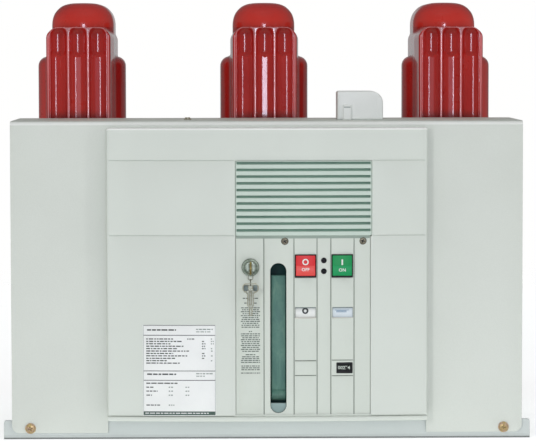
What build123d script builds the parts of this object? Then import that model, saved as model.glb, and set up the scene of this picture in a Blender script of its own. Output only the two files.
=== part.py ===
from build123d import *
import math
import os

# Fixed indoor circuit breaker with three moulded resin poles behind a low steel
# mechanism housing.  Millimetres.  Modelled with y = 0 on the front steel sheet and
# +y towards the poles, then moved so that the origin is the centre of the base
# bolt pattern, on the floor.

# ---------------------------------------------------------------- dimensions
BASE_W = 570.0          # over the base flanges
HOUSING_W = 552.0       # over the side panels
HOUSING_H = 344.0
HOUSING_D = 140.0
SHEET = 2.0
PANEL_Z0 = 6.7          # lower edge of the front sheet
SIDE_Z0 = 45.0          # lower edge of the side sheets: below it the base bolts are in reach
REAR_Y = 330.0          # rear end of the base
REAR_H = 105.0          # top of the low rear base that carries the poles

BOLT_Y0, BOLT_Y1 = 40.0, 290.0      # base bolt rows
BOLT_X = 258.0
BOLT_R = 6.5
ORIGIN_Y = (BOLT_Y0 + BOLT_Y1) / 2

POLE_PITCH = 210.0
POLE_Y = 229.0          # axis of the round column
POLE_R = 50.5
HEAD_HALF = 38.5
FRONT_HALF = 35.8       # half width at the fluted front
FLUTE_Y = 142.0         # front face of the fluted block
HEAD_REAR = 336.0
SHOULDER_Z = 411.0
CAP_Z0 = 446.0
POLE_TOP = 475.0
CAP_HALF = 36.0
CAP_Y0, CAP_Y1 = 254.0, 299.0       # centres of the round ends of the domed cap
TOP_SLOPE_Z, TOP_SLOPE_X = 436.5, 27.5   # the head's top edges slope off between these

TERM_W, TERM_T = 50.0, 16.0
TERM_END = 396.0
TERM_UP_Z, TERM_LO_Z = 422.0, 217.0
TERM_HOLE_R = 6.5
TERM_HOLE_Y0, TERM_HOLE_Y1 = 354.0, 380.0

COVER_HALF = 172.0
COVER_Z0, COVER_Z1 = 22.0, 337.0
COVER_MID, COVER_SIDE = -25.5, -18.0      # bowed front face, y at the middle and the sides
SKIN = 3.0

INSERT_X0, INSERT_X1 = -34.0, 110.6
INSERT_Z0, INSERT_Z1 = 26.0, 221.4
LOUVRE_X1, LOUVRE_Z1 = 112.0, 302.0
LOUVRE_SLOTS, LOUVRE_PITCH, LOUVRE_SLOT = 11, 7.25, 2.4

SLOT_X0, SLOT_X1, SLOT_Z0, SLOT_Z1 = 3.1, 20.3, 31.0, 192.5
LEVER_W, LEVER_T, LEVER_TOP, LEVER_PIVOT_Z, LEVER_PIVOT_Y = 15.4, 6.0, 179.0, 50.0, -14.5

BUTTON_W, BUTTON_H, BUTTON_GAP = 22.0, 24.0, 0.5
OFF_X, ON_X, BUTTON_Z = 40.9, 80.2, 189.2
BUTTON_TRAVEL = 5.0

LOCK_X, LOCK_Z = -18.1, 188.0
CAVITY = (-30.0, 107.0, 30.0, 298.0)      # space behind the control panel, X and Z
CAVITY_Y = 20.0


# ---------------------------------------------------------------- helpers
def box(x0, x1, y0, y1, z0, z1):
    return Pos((x0 + x1) / 2, (y0 + y1) / 2, (z0 + z1) / 2) * Box(x1 - x0, y1 - y0, z1 - z0)


def rod_y(x, z, r, y0, y1):
    return Pos(x, (y0 + y1) / 2, z) * Rot(90, 0, 0) * Cylinder(r, y1 - y0)


def rod_x(y, z, r, x0, x1):
    return Pos((x0 + x1) / 2, y, z) * Rot(0, 90, 0) * Cylinder(r, x1 - x0)


def rod_z(x, y, r, z0, z1):
    return Pos(x, y, (z0 + z1) / 2) * Cylinder(r, z1 - z0)


def face_y(x):
    """y of the bowed cover face at x."""
    r = (COVER_HALF ** 2 + (COVER_SIDE - COVER_MID) ** 2) / (2 * (COVER_SIDE - COVER_MID))
    return COVER_MID + r - math.sqrt(r * r - x * x)


def bow(d0, d1, x0, x1, z0, z1):
    """Slab that follows the bowed cover face, from d0 to d1 mm behind it."""
    def arc(d, a, b):
        m = (a + b) / 2
        return ThreePointArc((a, face_y(a) + d, 0), (m, face_y(m) + d, 0), (b, face_y(b) + d, 0))
    front, rear = arc(d0, x0, x1), arc(d1, x0, x1)
    side0 = Line(rear @ 0, front @ 0)
    side1 = Line(front @ 1, rear @ 1)
    profile = make_face(Wire([side0, front, side1, rear]))
    return Pos(0, 0, z0) * extrude(profile, amount=z1 - z0, dir=(0, 0, 1))


def stadium_z(x0, x1, z0, z1, y0, y1):
    """Upright slot with round ends, as a cutter along y."""
    r = (x1 - x0) / 2
    xm = (x0 + x1) / 2
    return box(x0, x1, y0, y1, z0 + r, z1 - r) + rod_y(xm, z0 + r, r, y0, y1) + rod_y(xm, z1 - r, r, y0, y1)


def fillet_where(shape, radius, test):
    edges = [e for e in shape.edges() if test(e)]
    if not edges:
        raise ValueError("no edge to round")
    return fillet(edges, radius)


def upright(e, x=None, y=None):
    b = e.bounding_box()
    if abs(b.max.X - b.min.X) > 0.01 or abs(b.max.Y - b.min.Y) > 0.01:
        return False
    c = e.center()
    return (x is None or abs(abs(c.X) - x) < 0.05) and (y is None or abs(c.Y - y) < 0.05)


os.makedirs("parts", exist_ok=True)
made = []


def put(name, shape):
    shape = Pos(0, -ORIGIN_Y, 0) * shape
    solids = shape.solids()
    out = solids[0] if len(solids) == 1 else Compound(children=list(solids))
    out.label = name
    export_step(out, "parts/" + name + ".step")
    made.append(name)


# ---------------------------------------------------------------- base frame
def rail(side):
    foot = box(236, BASE_W / 2, 6, REAR_Y, 0, 3)
    lip = box(BASE_W / 2 - 3, BASE_W / 2, 6, REAR_Y, 3, 16)
    web = box(236, 239, 6, REAR_Y, 3, 45)
    shelf = box(239, 252, 6, REAR_Y, 42, 45)
    shape = foot + lip + web + shelf
    for y in (BOLT_Y0, BOLT_Y1):
        shape -= rod_z(BOLT_X, y, BOLT_R, -1, 4)
    return shape if side > 0 else mirror(shape, Plane.YZ)


put("base_rail_left", rail(-1))
put("base_rail_right", rail(1))

crossbar = box(-BASE_W / 2, BASE_W / 2, 3, 6, 0, 16) + box(-236, 236, 6, 40, 0, 3)
crossbar += box(-236, 236, 3, 6, 16, 40)
crossbar = fillet_where(crossbar, 2.5, lambda e: e.bounding_box().size.Y > 2.9 and e.bounding_box().size.Y < 3.1
                        and e.bounding_box().size.X < 0.01 and e.bounding_box().size.Z < 0.01
                        and abs(abs(e.center().X) - BASE_W / 2) < 0.1 and e.center().Z > 10)
put("front_crossbar", crossbar)

rear_bar = box(-236, 236, REAR_Y - 3, REAR_Y, 0, 45) + box(-236, 236, REAR_Y - 40, REAR_Y - 3, 0, 3)
put("rear_crossbar", rear_bar)

# ---------------------------------------------------------------- housing
half = HOUSING_W / 2
inner = half - SHEET

# front sheet: rounded fold at the top edge, notch under the cover, rounded lower corners
front = box(-half, half, 0, 24, PANEL_Z0, HOUSING_H)
front = fillet_where(front, 5.0, lambda e: e.bounding_box().size.X > 500 and abs(e.center().Y) < 0.1
                     and abs(e.center().Z - HOUSING_H) < 0.1)
front -= fillet_where(box(-half - 1, half + 1, SHEET, 25, PANEL_Z0 - 1, HOUSING_H - SHEET), 3.0,
                      lambda e: e.bounding_box().size.X > 500 and abs(e.center().Y - SHEET) < 0.1
                      and abs(e.center().Z - HOUSING_H + SHEET) < 0.1)
corner = [e for e in front.edges() if e.bounding_box().size.Y > 1.9 and e.bounding_box().size.Y < 2.1
          and e.bounding_box().size.X < 0.01 and e.bounding_box().size.Z < 0.01
          and abs(e.center().Z - PANEL_Z0) < 0.1]
front = fillet(corner, 8.0)
front -= box(-COVER_HALF, COVER_HALF, -1, SHEET + 1, PANEL_Z0 - 1, 30.0)
front -= box(CAVITY[0], CAVITY[1], -1, SHEET + 1, CAVITY[2], CAVITY[3])
for x in (-256.0, 256.0):
    front -= rod_y(x, 12.0, 3.2, -1, SHEET + 1)
put("front_panel", front)

top = box(-half, half, 24, HOUSING_D, HOUSING_H - SHEET, HOUSING_H)
top -= rod_z(-86.0, 60.0, 3.0, HOUSING_H - 4, HOUSING_H + 1)
put("top_panel", top)


def side_panel(side):
    tall = box(inner, half, SHEET, HOUSING_D, SIDE_Z0, HOUSING_H - SHEET)
    low = box(inner, half, HOUSING_D, REAR_Y, SIDE_Z0, REAR_H)
    shape = tall + low
    shape -= box(inner - 1, half + 1, SHEET - 1, SHEET + 3.2, HOUSING_H - SHEET - 3.2, HOUSING_H)
    shape = fillet_where(shape, 12.0, lambda e: e.bounding_box().size.X > 1.9 and e.bounding_box().size.X < 2.1
                         and e.bounding_box().size.Y < 0.01 and e.bounding_box().size.Z < 0.01
                         and abs(e.center().Y - HOUSING_D) < 0.1 and abs(e.center().Z - REAR_H) < 0.1)
    return shape if side > 0 else mirror(shape, Plane.YZ)


put("side_panel_left", side_panel(-1))
put("side_panel_right", side_panel(1))

# closed mechanism enclosure, solid, with the space behind the control panel
block = box(-inner, inner, 6, HOUSING_D - 3, 45, HOUSING_H - SHEET)
block -= box(CAVITY[0], CAVITY[1], 5, CAVITY_Y, CAVITY[2], CAVITY[3])
block -= box(-half, half, 5, 6.2, 44, HOUSING_H)
block += box(-inner, inner, SHEET, 6.2, 60, 330) - box(CAVITY[0], CAVITY[1], 0, 8, CAVITY[2], CAVITY[3])
block -= box(-inner - 1, inner + 1, 0, 9, HOUSING_H - 12, HOUSING_H)
block -= rod_z(-86.0, 60.0, 3.0, HOUSING_H - 12, HOUSING_H + 1)
put("mechanism_block", block)

rear = box(-inner, inner, HOUSING_D - 3, HOUSING_D, REAR_H, HOUSING_H - SHEET)
put("rear_panel", rear)

# low rear base with the plate that the poles stand on
plinth = box(-inner, inner, HOUSING_D - 3, REAR_Y, 45, REAR_H - 4)
put("rear_base", plinth)
plate = box(-inner, inner, HOUSING_D - 3, REAR_Y, REAR_H - 4, REAR_H)
put("pole_plate", plate)

# ---------------------------------------------------------------- poles
ARRIS = [(-32.8, FLUTE_Y + 3.0), (-11.2, FLUTE_Y), (11.2, FLUTE_Y), (32.8, FLUTE_Y + 3.0)]
FLUTE_TOP = 434.3
LAND = 1.3


def flute_cutters(r, z0, z1, sphere_bottom):
    out = []
    for (xa, ya), (xb, yb) in zip(ARRIS[:-1], ARRIS[1:]):
        dx, dy = xb - xa, yb - ya
        length = math.hypot(dx, dy)
        half_chord = length / 2 - LAND
        off = math.sqrt(r * r - half_chord * half_chord)
        nx, ny = dy / length, -dx / length       # outward normal
        cx, cy = (xa + xb) / 2 + nx * off, (ya + yb) / 2 + ny * off
        cut = rod_z(cx, cy, r, z0, z1) + Pos(cx, cy, z1) * Sphere(r)
        if sphere_bottom:
            cut += Pos(cx, cy, z0) * Sphere(r)
        out.append(cut)
    return out


def pole_body():
    # front profile of the fluted block: flat centre, slightly turned outer facets
    def front_y(x):
        return FLUTE_Y + (x - 11.2) * 3.0 / 21.6

    def plan(y_end, round_rear):
        w, f = HEAD_HALF, FRONT_HALF
        pts = [(-w, y_end), (-w, 186.0), (-f, front_y(f)), (-11.2, FLUTE_Y), (11.2, FLUTE_Y), (f, front_y(f)), (w, 186.0), (w, y_end)]
        edges = [Line((ax, ay, 0), (bx, by, 0)) for (ax, ay), (bx, by) in zip(pts[:-1], pts[1:])]
        if round_rear:
            edges.append(ThreePointArc((w, y_end, 0), (0, HEAD_REAR, 0), (-w, y_end, 0)))
        else:
            edges.append(Line((w, y_end, 0), (-w, y_end, 0)))
        face = make_face(Wire(edges))
        corners = [v for v in face.vertices() if abs(abs(v.X) - f) < 0.01 and abs(v.Y - front_y(f)) < 0.01]
        face = fillet(corners, 3.0)
        knee = [v for v in face.vertices() if abs(abs(v.X) - w) < 0.01 and abs(v.Y - 186.0) < 0.01]
        return fillet(knee, 40.0)

    head = Pos(0, 0, SHOULDER_Z - 30) * extrude(plan(HEAD_REAR - HEAD_HALF, True), amount=CAP_Z0 - SHOULDER_Z + 30, dir=(0, 0, 1))
    # the top edges of the head slope off towards the sides
    w = HEAD_HALF + 5
    outline = make_face(Polyline((-w, 0, SHOULDER_Z - 40), (w, 0, SHOULDER_Z - 40), (w, 0, TOP_SLOPE_Z - 5.0),
                                 (TOP_SLOPE_X, 0, CAP_Z0), (-TOP_SLOPE_X, 0, CAP_Z0), (-w, 0, TOP_SLOPE_Z - 5.0), close=True))
    soft = [v for v in outline.vertices() if abs(v.Z - CAP_Z0) < 0.01]
    outline = fillet(soft, 6.0)
    head &= Pos(0, FLUTE_Y - 20, 0) * extrude(outline, amount=HEAD_REAR - FLUTE_Y + 40, dir=(0, 1, 0))
    front_top = [e for e in head.edges() if abs(e.center().Z - CAP_Z0) < 0.05 and e.center().Y < FLUTE_Y + 3]
    if front_top:
        head = fillet(front_top, 1.6)
    flutes = Pos(0, 0, REAR_H) * extrude(plan(POLE_Y, False), amount=SHOULDER_Z - REAR_H, dir=(0, 0, 1))
    column = rod_z(0, POLE_Y, POLE_R, REAR_H, SHOULDER_Z + 2)
    column = fillet_where(column, 11.0, lambda e: abs(e.center().Z - SHOULDER_Z - 2) < 0.1)
    # spine and terminal bosses at the rear
    spine = box(-34, 34, POLE_Y, HEAD_REAR - 22, 160, SHOULDER_Z)
    spine = fillet([e for e in spine.edges() if upright(e, 34, HEAD_REAR - 22)], 14.0)
    boss = box(-36, 36, POLE_Y, HEAD_REAR, TERM_LO_Z - 30, TERM_LO_Z + 30)
    boss = fillet([e for e in boss.edges() if upright(e, 36, HEAD_REAR)], 16.0)
    foot = box(-58, 58, 163, 295, REAR_H, REAR_H + 12)
    foot = fillet([e for e in foot.edges() if upright(e)], 14.0)
    # domed cap over the rear of the head, a rounded stadium in plan
    h = POLE_TOP - CAP_Z0
    w = CAP_HALF

    def cap_face():
        return make_face(Wire([
            Line((0, 0, -14), (w, 0, -14)),
            Line((w, 0, -14), (w, 0, 3.0)),
            Spline((w, 0, 3.0), (w - 1.3, 0, 12.3), (w - 6.4, 0, 21.0), (w - 14.5, 0, 26.6), (12.0, 0, h - 0.35), tangents=[(0, 0, 1), (-1, 0, 0.055)]),
            Spline((12.0, 0, h - 0.35), (0, 0, h), tangents=[(-1, 0, 0.055), (-1, 0, 0)]),
            Line((0, 0, h), (0, 0, -14)),
        ]))
    turned = revolve(cap_face(), Axis.Z, 360)
    half_bar = extrude(cap_face(), amount=CAP_Y1 - CAP_Y0, dir=(0, 1, 0))
    bar = half_bar + mirror(half_bar, Plane.YZ)
    cap = Pos(0, CAP_Y0, CAP_Z0) * turned + Pos(0, CAP_Y0, CAP_Z0) * bar + Pos(0, CAP_Y1, CAP_Z0) * turned
    body = head + flutes + column + spine + boss + foot + cap
    for cut in flute_cutters(13.0, REAR_H - 1, FLUTE_TOP, False):
        body -= cut
    for cut in flute_cutters(10.4, 419.0, FLUTE_TOP, True):
        body -= cut
    # pockets for the terminal bars
    body -= box(-TERM_W / 2, TERM_W / 2, HEAD_REAR - 32, HEAD_REAR + 5, TERM_UP_Z - TERM_T / 2, TERM_UP_Z + TERM_T / 2)
    body -= box(-TERM_W / 2, TERM_W / 2, HEAD_REAR - 32, HEAD_REAR + 5, TERM_LO_Z - TERM_T / 2, TERM_LO_Z + TERM_T / 2)
    return body


def terminal(z):
    bar = box(-TERM_W / 2, TERM_W / 2, HEAD_REAR - 32, TERM_END, z - TERM_T / 2, z + TERM_T / 2)
    bar = fillet([e for e in bar.edges() if upright(e, TERM_W / 2, TERM_END)], 12.0)
    bar = chamfer([e for e in bar.edges() if e.center().Y > HEAD_REAR and e.bounding_box().size.Z < 0.01
                   and e.bounding_box().max.Y > HEAD_REAR + 12], 1.0)
    for y in (TERM_HOLE_Y0, TERM_HOLE_Y1):
        bar -= rod_z(0, y, TERM_HOLE_R, z - 20, z + 20)
    return bar


body = pole_body()
up, low = terminal(TERM_UP_Z), terminal(TERM_LO_Z)
for name, x in (("left", -POLE_PITCH), ("centre", 0.0), ("right", POLE_PITCH)):
    put("pole_" + name, Pos(x, 0, 0) * body)
    put("upper_terminal_" + name, Pos(x, 0, 0) * up)
    put("lower_terminal_" + name, Pos(x, 0, 0) * low)

# ---------------------------------------------------------------- front cover
cover = bow(0, -COVER_MID + 20, -COVER_HALF, COVER_HALF, COVER_Z0, COVER_Z1)
cover -= box(-COVER_HALF - 5, COVER_HALF + 5, 0, 60, COVER_Z0 - 5, COVER_Z1 + 5)
cover = fillet([e for e in cover.edges() if upright(e, COVER_HALF) and e.center().Y < -17], 4.0)
# window for the control panel and louvre, and the hollow behind the skin
window = box(INSERT_X0, INSERT_X1, -40, 5, INSERT_Z0, INSERT_Z1) + box(INSERT_X0, LOUVRE_X1, -40, 5, INSERT_Z1, LOUVRE_Z1)
cover -= window
# fine horizontal grooves
for z in (222.0, 302.4):
    for x0, x1 in ((-170.0, INSERT_X0 - 0.5), (LOUVRE_X1 + 0.5, 170.0)):
        cover -= bow(-1.0, 0.7, x0, x1, z - 0.45, z + 0.45)
put("plastic_cover", cover)

louvre = bow(0.3, 5.3, INSERT_X0 + 0.3, LOUVRE_X1 - 0.3, INSERT_Z1 + 0.3, LOUVRE_Z1 - 0.3)
for i in range(LOUVRE_SLOTS):
    z = 299.6 - i * LOUVRE_PITCH
    louvre -= box(INSERT_X0 + 3.0, LOUVRE_X1 - 3.0, -40, 5, z - LOUVRE_SLOT / 2, z + LOUVRE_SLOT / 2)
put("louvre_grille", louvre)

panel = bow(0.4, 3.4, INSERT_X0 + 0.3, INSERT_X1 - 0.3, INSERT_Z0 + 0.3, INSERT_Z1 - 0.1)
panel -= stadium_z(SLOT_X0, SLOT_X1, SLOT_Z0, SLOT_Z1, -40, 5)
for x in (OFF_X, ON_X):
    panel -= box(x - BUTTON_W / 2 - BUTTON_GAP, x + BUTTON_W / 2 + BUTTON_GAP, -40, 5,
                 BUTTON_Z - BUTTON_H / 2 - BUTTON_GAP, BUTTON_Z + BUTTON_H / 2 + BUTTON_GAP)
panel -= box(29.7, 52.1, -40, 5, 133.0, 145.0)
panel -= box(68.7, 91.7, -40, 5, 133.0, 145.0)
panel -= box(74.0, 91.8, -40, 5, 73.6, 85.4)
for z in (195.2, 183.6):
    panel -= rod_y(60.5, z, 3.0, -40, 5)
panel -= rod_y(LOCK_X, LOCK_Z, 9.4, -40, 5)
for x in (18.7, 102.3):
    panel -= rod_y(x, 216.0, 2.1, -40, 5)
for x in (-3.7, 29.1, 52.8, 68.7, 92.2):
    panel -= bow(-1.0, 0.9, x - 0.4, x + 0.4, INSERT_Z0 - 1, INSERT_Z1 + 1)
put("control_panel", panel)

screws = []
for x in (18.7, 102.3):
    y = min(face_y(x - 4), face_y(x + 4)) + 0.35
    s = rod_y(x, 216.0, 3.9, y - 1.6, y) + rod_y(x, 216.0, 1.8, y, y + 12)
    s -= rod_y(x, 216.0, 1.9, y - 2.0, y - 0.5)
    screws.append(s)
put("panel_screws", Compound(children=[s.solid() for s in screws]))

# ---------------------------------------------------------------- charging lever
px = (SLOT_X0 + SLOT_X1) / 2 + 0.2
lever = box(px - LEVER_W / 2, px + LEVER_W / 2, LEVER_PIVOT_Y - LEVER_T / 2, LEVER_PIVOT_Y + LEVER_T / 2, LEVER_PIVOT_Z, LEVER_TOP)
lever += rod_x(LEVER_PIVOT_Y, LEVER_PIVOT_Z, 6.5, px - LEVER_W / 2, px + LEVER_W / 2)
lever -= rod_x(LEVER_PIVOT_Y, LEVER_PIVOT_Z, 3.05, px - 20, px + 20)
lever = chamfer([e for e in lever.edges() if e.bounding_box().size.Z > 100], 0.8)
put("charging_lever", lever)

pin = rod_x(LEVER_PIVOT_Y, LEVER_PIVOT_Z, 3.0, px - 14, px + 14)
ears = Compound(children=[])
ear_l = box(px - 14, px - 9.5, -20, CAVITY_Y, LEVER_PIVOT_Z - 9, LEVER_PIVOT_Z + 9)
ear_r = box(px + 9.5, px + 14, -20, CAVITY_Y, LEVER_PIVOT_Z - 9, LEVER_PIVOT_Z + 9)
bracket = ear_l + ear_r + pin
put("lever_bracket", bracket)

stop = stadium_z(SLOT_X0 + 0.2, SLOT_X1 - 0.2, SLOT_Z0 + 0.2, SLOT_Z0 + 40, -22.4, -18.0)
stop &= box(SLOT_X0, SLOT_X1, -30, 0, SLOT_Z0, 40.5)
stop += box(SLOT_X0 + 0.2, SLOT_X1 - 0.2, -21.0, -19.0, 33.0, 40.5)
put("slot_stop", stop)

# ---------------------------------------------------------------- push buttons
def button(x):
    y = face_y(x) + 0.4
    cap = box(x - BUTTON_W / 2, x + BUTTON_W / 2, y - 1.2, y + 9, BUTTON_Z - BUTTON_H / 2, BUTTON_Z + BUTTON_H / 2)
    cap = fillet([e for e in cap.edges() if abs(e.center().Y - (y - 1.2)) < 0.05], 0.7)
    return cap + rod_y(x, BUTTON_Z, 5.0, y + 9, y + 9 + 16)


put("off_button", button(OFF_X))
put("on_button", button(ON_X))

# ---------------------------------------------------------------- indicators and counter
def window_block(x0, x1, z0, z1, recess):
    y = face_y((x0 + x1) / 2)
    face = box(x0, x1, y + recess, y + recess + 10, z0, z1)
    stem = box((x0 + x1) / 2 - 5, (x0 + x1) / 2 + 5, y + recess + 10, CAVITY_Y, (z0 + z1) / 2 - 4, (z0 + z1) / 2 + 4)
    return face + stem


put("position_indicator", window_block(27.7, 54.1, 131.0, 147.0, 4.6))
put("spring_indicator", window_block(66.7, 93.7, 131.0, 147.0, 4.6))
put("operation_counter", window_block(72.0, 93.8, 71.6, 87.4, 4.4))
put("blank_plate", bow(-0.3, 0.4, 29.7, 52.3, 71.8, 87.8))

# ---------------------------------------------------------------- plates on the cover
put("rating_plate", bow(-0.4, 0.0, -133.7, -55.2, 28.5, 126.4))
put("instruction_strip", bow(-0.1, 0.4, -30.5, -6.0, 29.5, 165.0))

# ---------------------------------------------------------------- key lock
ly = face_y(LOCK_X) + 0.4
lock = rod_y(LOCK_X, LOCK_Z, 9.1, ly - 2.5, CAVITY_Y)
lock -= rod_y(LOCK_X, LOCK_Z, 6.05, ly - 3, ly + 20)
lock = chamfer([e for e in lock.edges() if abs(e.center().Y - (ly - 2.5)) < 0.05 and e.bounding_box().size.X > 15], 0.8)
put("lock_body", lock)

plug = rod_y(LOCK_X, LOCK_Z, 6.0, ly - 2.9, ly + 19.8)
plug -= box(LOCK_X - 1.0, LOCK_X + 1.0, ly - 4, ly + 15, LOCK_Z - 4.0, LOCK_Z + 4.0)
put("lock_plug", plug)

BOW_R = 7.0
bow_y = ly - 2.9 - 4.0 - BOW_R
key = rod_x(bow_y, LOCK_Z, BOW_R, LOCK_X - 0.95, LOCK_X + 0.95)
key += box(LOCK_X - 0.95, LOCK_X + 0.95, bow_y + 4, ly + 14.8, LOCK_Z - 3.8, LOCK_Z + 3.8)
HOLE_Z = LOCK_Z - 2.6
HOLE_R = 2.6
key -= rod_x(bow_y, HOLE_Z, HOLE_R, LOCK_X - 5, LOCK_X + 5)
put("lock_key", key)

# wire link through the bow, a ring through the link, and the second key on the ring
rim_z = (LOCK_Z - BOW_R + HOLE_Z - HOLE_R) / 2       # middle of the rim under the hole
WIRE = 0.5
link_r, link_len = 2.5, 4.0
path = Wire([
    ThreePointArc((LOCK_X - link_r, bow_y, rim_z), (LOCK_X, bow_y, rim_z + link_r), (LOCK_X + link_r, bow_y, rim_z)),
    Line((LOCK_X + link_r, bow_y, rim_z), (LOCK_X + link_r, bow_y, rim_z - link_len)),
    ThreePointArc((LOCK_X + link_r, bow_y, rim_z - link_len), (LOCK_X, bow_y, rim_z - link_len - link_r),
                  (LOCK_X - link_r, bow_y, rim_z - link_len)),
    Line((LOCK_X - link_r, bow_y, rim_z - link_len), (LOCK_X - link_r, bow_y, rim_z)),
])
link = Pos(LOCK_X, bow_y, rim_z) * Rot(90, 0, 0) * Torus(link_r, WIRE)
upper = link & box(LOCK_X - 10, LOCK_X + 10, bow_y - 5, bow_y + 5, rim_z, rim_z + 10)
lower = Pos(0, 0, -link_len) * (link & box(LOCK_X - 10, LOCK_X + 10, bow_y - 5, bow_y + 5, rim_z - 10, rim_z))
link = upper + lower + rod_z(LOCK_X - link_r, bow_y, WIRE, rim_z - link_len, rim_z) + rod_z(LOCK_X + link_r, bow_y, WIRE, rim_z - link_len, rim_z)
ring_r = 3.6
ring_top = rim_z - link_len - link_r + 2 * WIRE + 0.15
ring_z = ring_top - ring_r
ring = Pos(LOCK_X, bow_y, ring_z) * Rot(0, 90, 0) * Torus(ring_r, WIRE)
put("key_ring", Compound(children=[link.solid(), ring.solid()]))

key_hole_z = ring_z - ring_r - 1.0
sk_top = key_hole_z + 3.4
spare = box(LOCK_X - 8.5, LOCK_X + 8.5, bow_y - 0.9, bow_y + 0.9, sk_top - 9.5, sk_top)
spare = fillet([e for e in spare.edges() if e.bounding_box().size.Y > 1.7 and e.bounding_box().size.X < 0.01
                and e.bounding_box().size.Z < 0.01], 4.2)
spare += box(LOCK_X - 3.4, LOCK_X + 3.4, bow_y - 0.9, bow_y + 0.9, sk_top - 23.5, sk_top - 9)
spare += box(LOCK_X - 1.4, LOCK_X + 2.0, bow_y - 0.9, bow_y + 0.9, sk_top - 34.5, sk_top - 23)
spare -= rod_y(LOCK_X, key_hole_z, 1.8, bow_y - 5, bow_y + 5)
put("spare_key", spare)
print("link hinge at", LOCK_X, bow_y - ORIGIN_Y, rim_z, "key lowest", sk_top - 34.5)

# ---------------------------------------------------------------- fixings and connector
cs = []
for x in (-256.0, 256.0):
    s = rod_y(x, 12.0, 5.8, -2.6, 0) + rod_y(x, 12.0, 3.1, 0, 3)
    cs.append(s.solid())
put("front_screws", Compound(children=cs))

plugs = rod_z(-86.0, 60.0, 4.2, HOUSING_H, HOUSING_H + 2.6) + rod_z(-86.0, 60.0, 2.9, HOUSING_H - 8, HOUSING_H)
put("top_plug", plugs)

conn = box(78, 128, 50, 94, HOUSING_H, 375)
conn = fillet([e for e in conn.edges() if e.bounding_box().size.Y > 40 and e.center().X > 127 and e.center().Z > 374], 13.0)
conn = fillet([e for e in conn.edges() if e.bounding_box().size.Y > 40 and e.center().X < 79 and e.center().Z > 374], 2.5)
conn = fillet([e for e in conn.edges() if abs(e.center().Y - 50) < 0.05 and e.center().Z > HOUSING_H + 1], 1.5)
lug = box(84, 93, 45, 50, HOUSING_H, 358)
lug = fillet([e for e in lug.edges() if e.bounding_box().size.Y > 4 and e.bounding_box().size.X < 0.01
              and e.bounding_box().size.Z < 0.01 and e.center().Z > 350], 2.0)
conn += lug
put("connector_box", conn)

# earth stud on the right rear of the low base
stud = rod_y(240.0, 72.0, 6.0, REAR_Y, REAR_Y + 22) + rod_y(240.0, 72.0, 11.0, REAR_Y, REAR_Y + 3)
put("earth_stud", stud)

print(len(made), "nodes")
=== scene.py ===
import bmesh
import bpy
import math
import random
import numpy as np
from mathutils import Matrix, Vector
from mathutils.geometry import delaunay_2d_cdt


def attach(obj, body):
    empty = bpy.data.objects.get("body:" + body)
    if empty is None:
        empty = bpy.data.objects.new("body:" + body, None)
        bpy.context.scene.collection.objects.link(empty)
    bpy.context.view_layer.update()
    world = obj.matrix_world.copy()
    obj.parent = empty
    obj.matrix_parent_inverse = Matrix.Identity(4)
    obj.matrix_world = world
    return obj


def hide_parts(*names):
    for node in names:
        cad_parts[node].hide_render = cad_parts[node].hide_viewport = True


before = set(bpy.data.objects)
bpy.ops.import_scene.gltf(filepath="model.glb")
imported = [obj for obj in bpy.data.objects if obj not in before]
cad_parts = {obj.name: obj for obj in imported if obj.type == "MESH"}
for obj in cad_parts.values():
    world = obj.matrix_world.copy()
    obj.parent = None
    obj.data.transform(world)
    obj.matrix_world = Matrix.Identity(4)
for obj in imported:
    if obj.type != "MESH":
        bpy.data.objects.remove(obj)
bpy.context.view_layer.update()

# Lengths below are millimetres in the layout of the part's source: y = 0 on the front
# steel sheet and +y towards the poles.  Shell.make turns them into metres in the row frame.
OY = 165.0

# ------------------------------------------------------------------ dimensions
BASE_W, HOUSING_W, HOUSING_H, HOUSING_D, SHEET = 570.0, 552.0, 344.0, 140.0, 2.0
PANEL_Z0, SIDE_Z0, REAR_Y, REAR_H = 6.7, 45.0, 330.0, 105.0
BOLT_X, BOLT_Y0, BOLT_Y1 = 258.0, 40.0, 290.0
COVER_HALF, COVER_Z0, COVER_Z1, COVER_MID, COVER_SIDE = 172.0, 22.0, 337.0, -25.5, -18.0
INSERT_X0, INSERT_X1, INSERT_Z0, INSERT_Z1 = -34.0, 110.6, 26.0, 221.4
LOUVRE_X1, LOUVRE_Z1 = 112.0, 302.0
SLOT_X0, SLOT_X1, SLOT_Z0, SLOT_Z1 = 3.1, 20.3, 31.0, 192.5
OFF_X, ON_X, BUTTON_Z, BUTTON_W, BUTTON_H = 40.9, 80.2, 189.2, 22.0, 24.0
LOCK_X, LOCK_Z = -18.1, 188.0
POLE_X = (("left", -210.0), ("centre", 0.0), ("right", 210.0))


# ------------------------------------------------------------------ camera
def set_camera():
    turn = (Matrix.Rotation(-0.014926, 3, "Z") @ Matrix.Rotation(-0.06285, 3, "X")
            @ Matrix.Rotation(0.0016, 3, "Y"))
    right, ahead, up = turn.col[0], turn.col[1], turn.col[2]
    basis = Matrix((right, up, -ahead)).transposed().to_4x4()
    data = bpy.data.cameras.new("camera")
    data.sensor_fit, data.sensor_width = "HORIZONTAL", 36.0
    data.lens = 182.624
    data.clip_start, data.clip_end = 0.05, 60.0
    cam = bpy.data.objects.new("camera", data)
    bpy.context.scene.collection.objects.link(cam)
    cam.matrix_world = Matrix.Translation((-0.0425044, -3.0890250, 0.4180365)) @ basis
    bpy.context.scene.camera = cam


set_camera()


def srgb(r, g, b, a=1.0):
    def lin(c):
        c /= 255.0
        return c / 12.92 if c <= 0.04045 else ((c + 0.055) / 1.055) ** 2.4
    return (lin(r), lin(g), lin(b), a)


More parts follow.
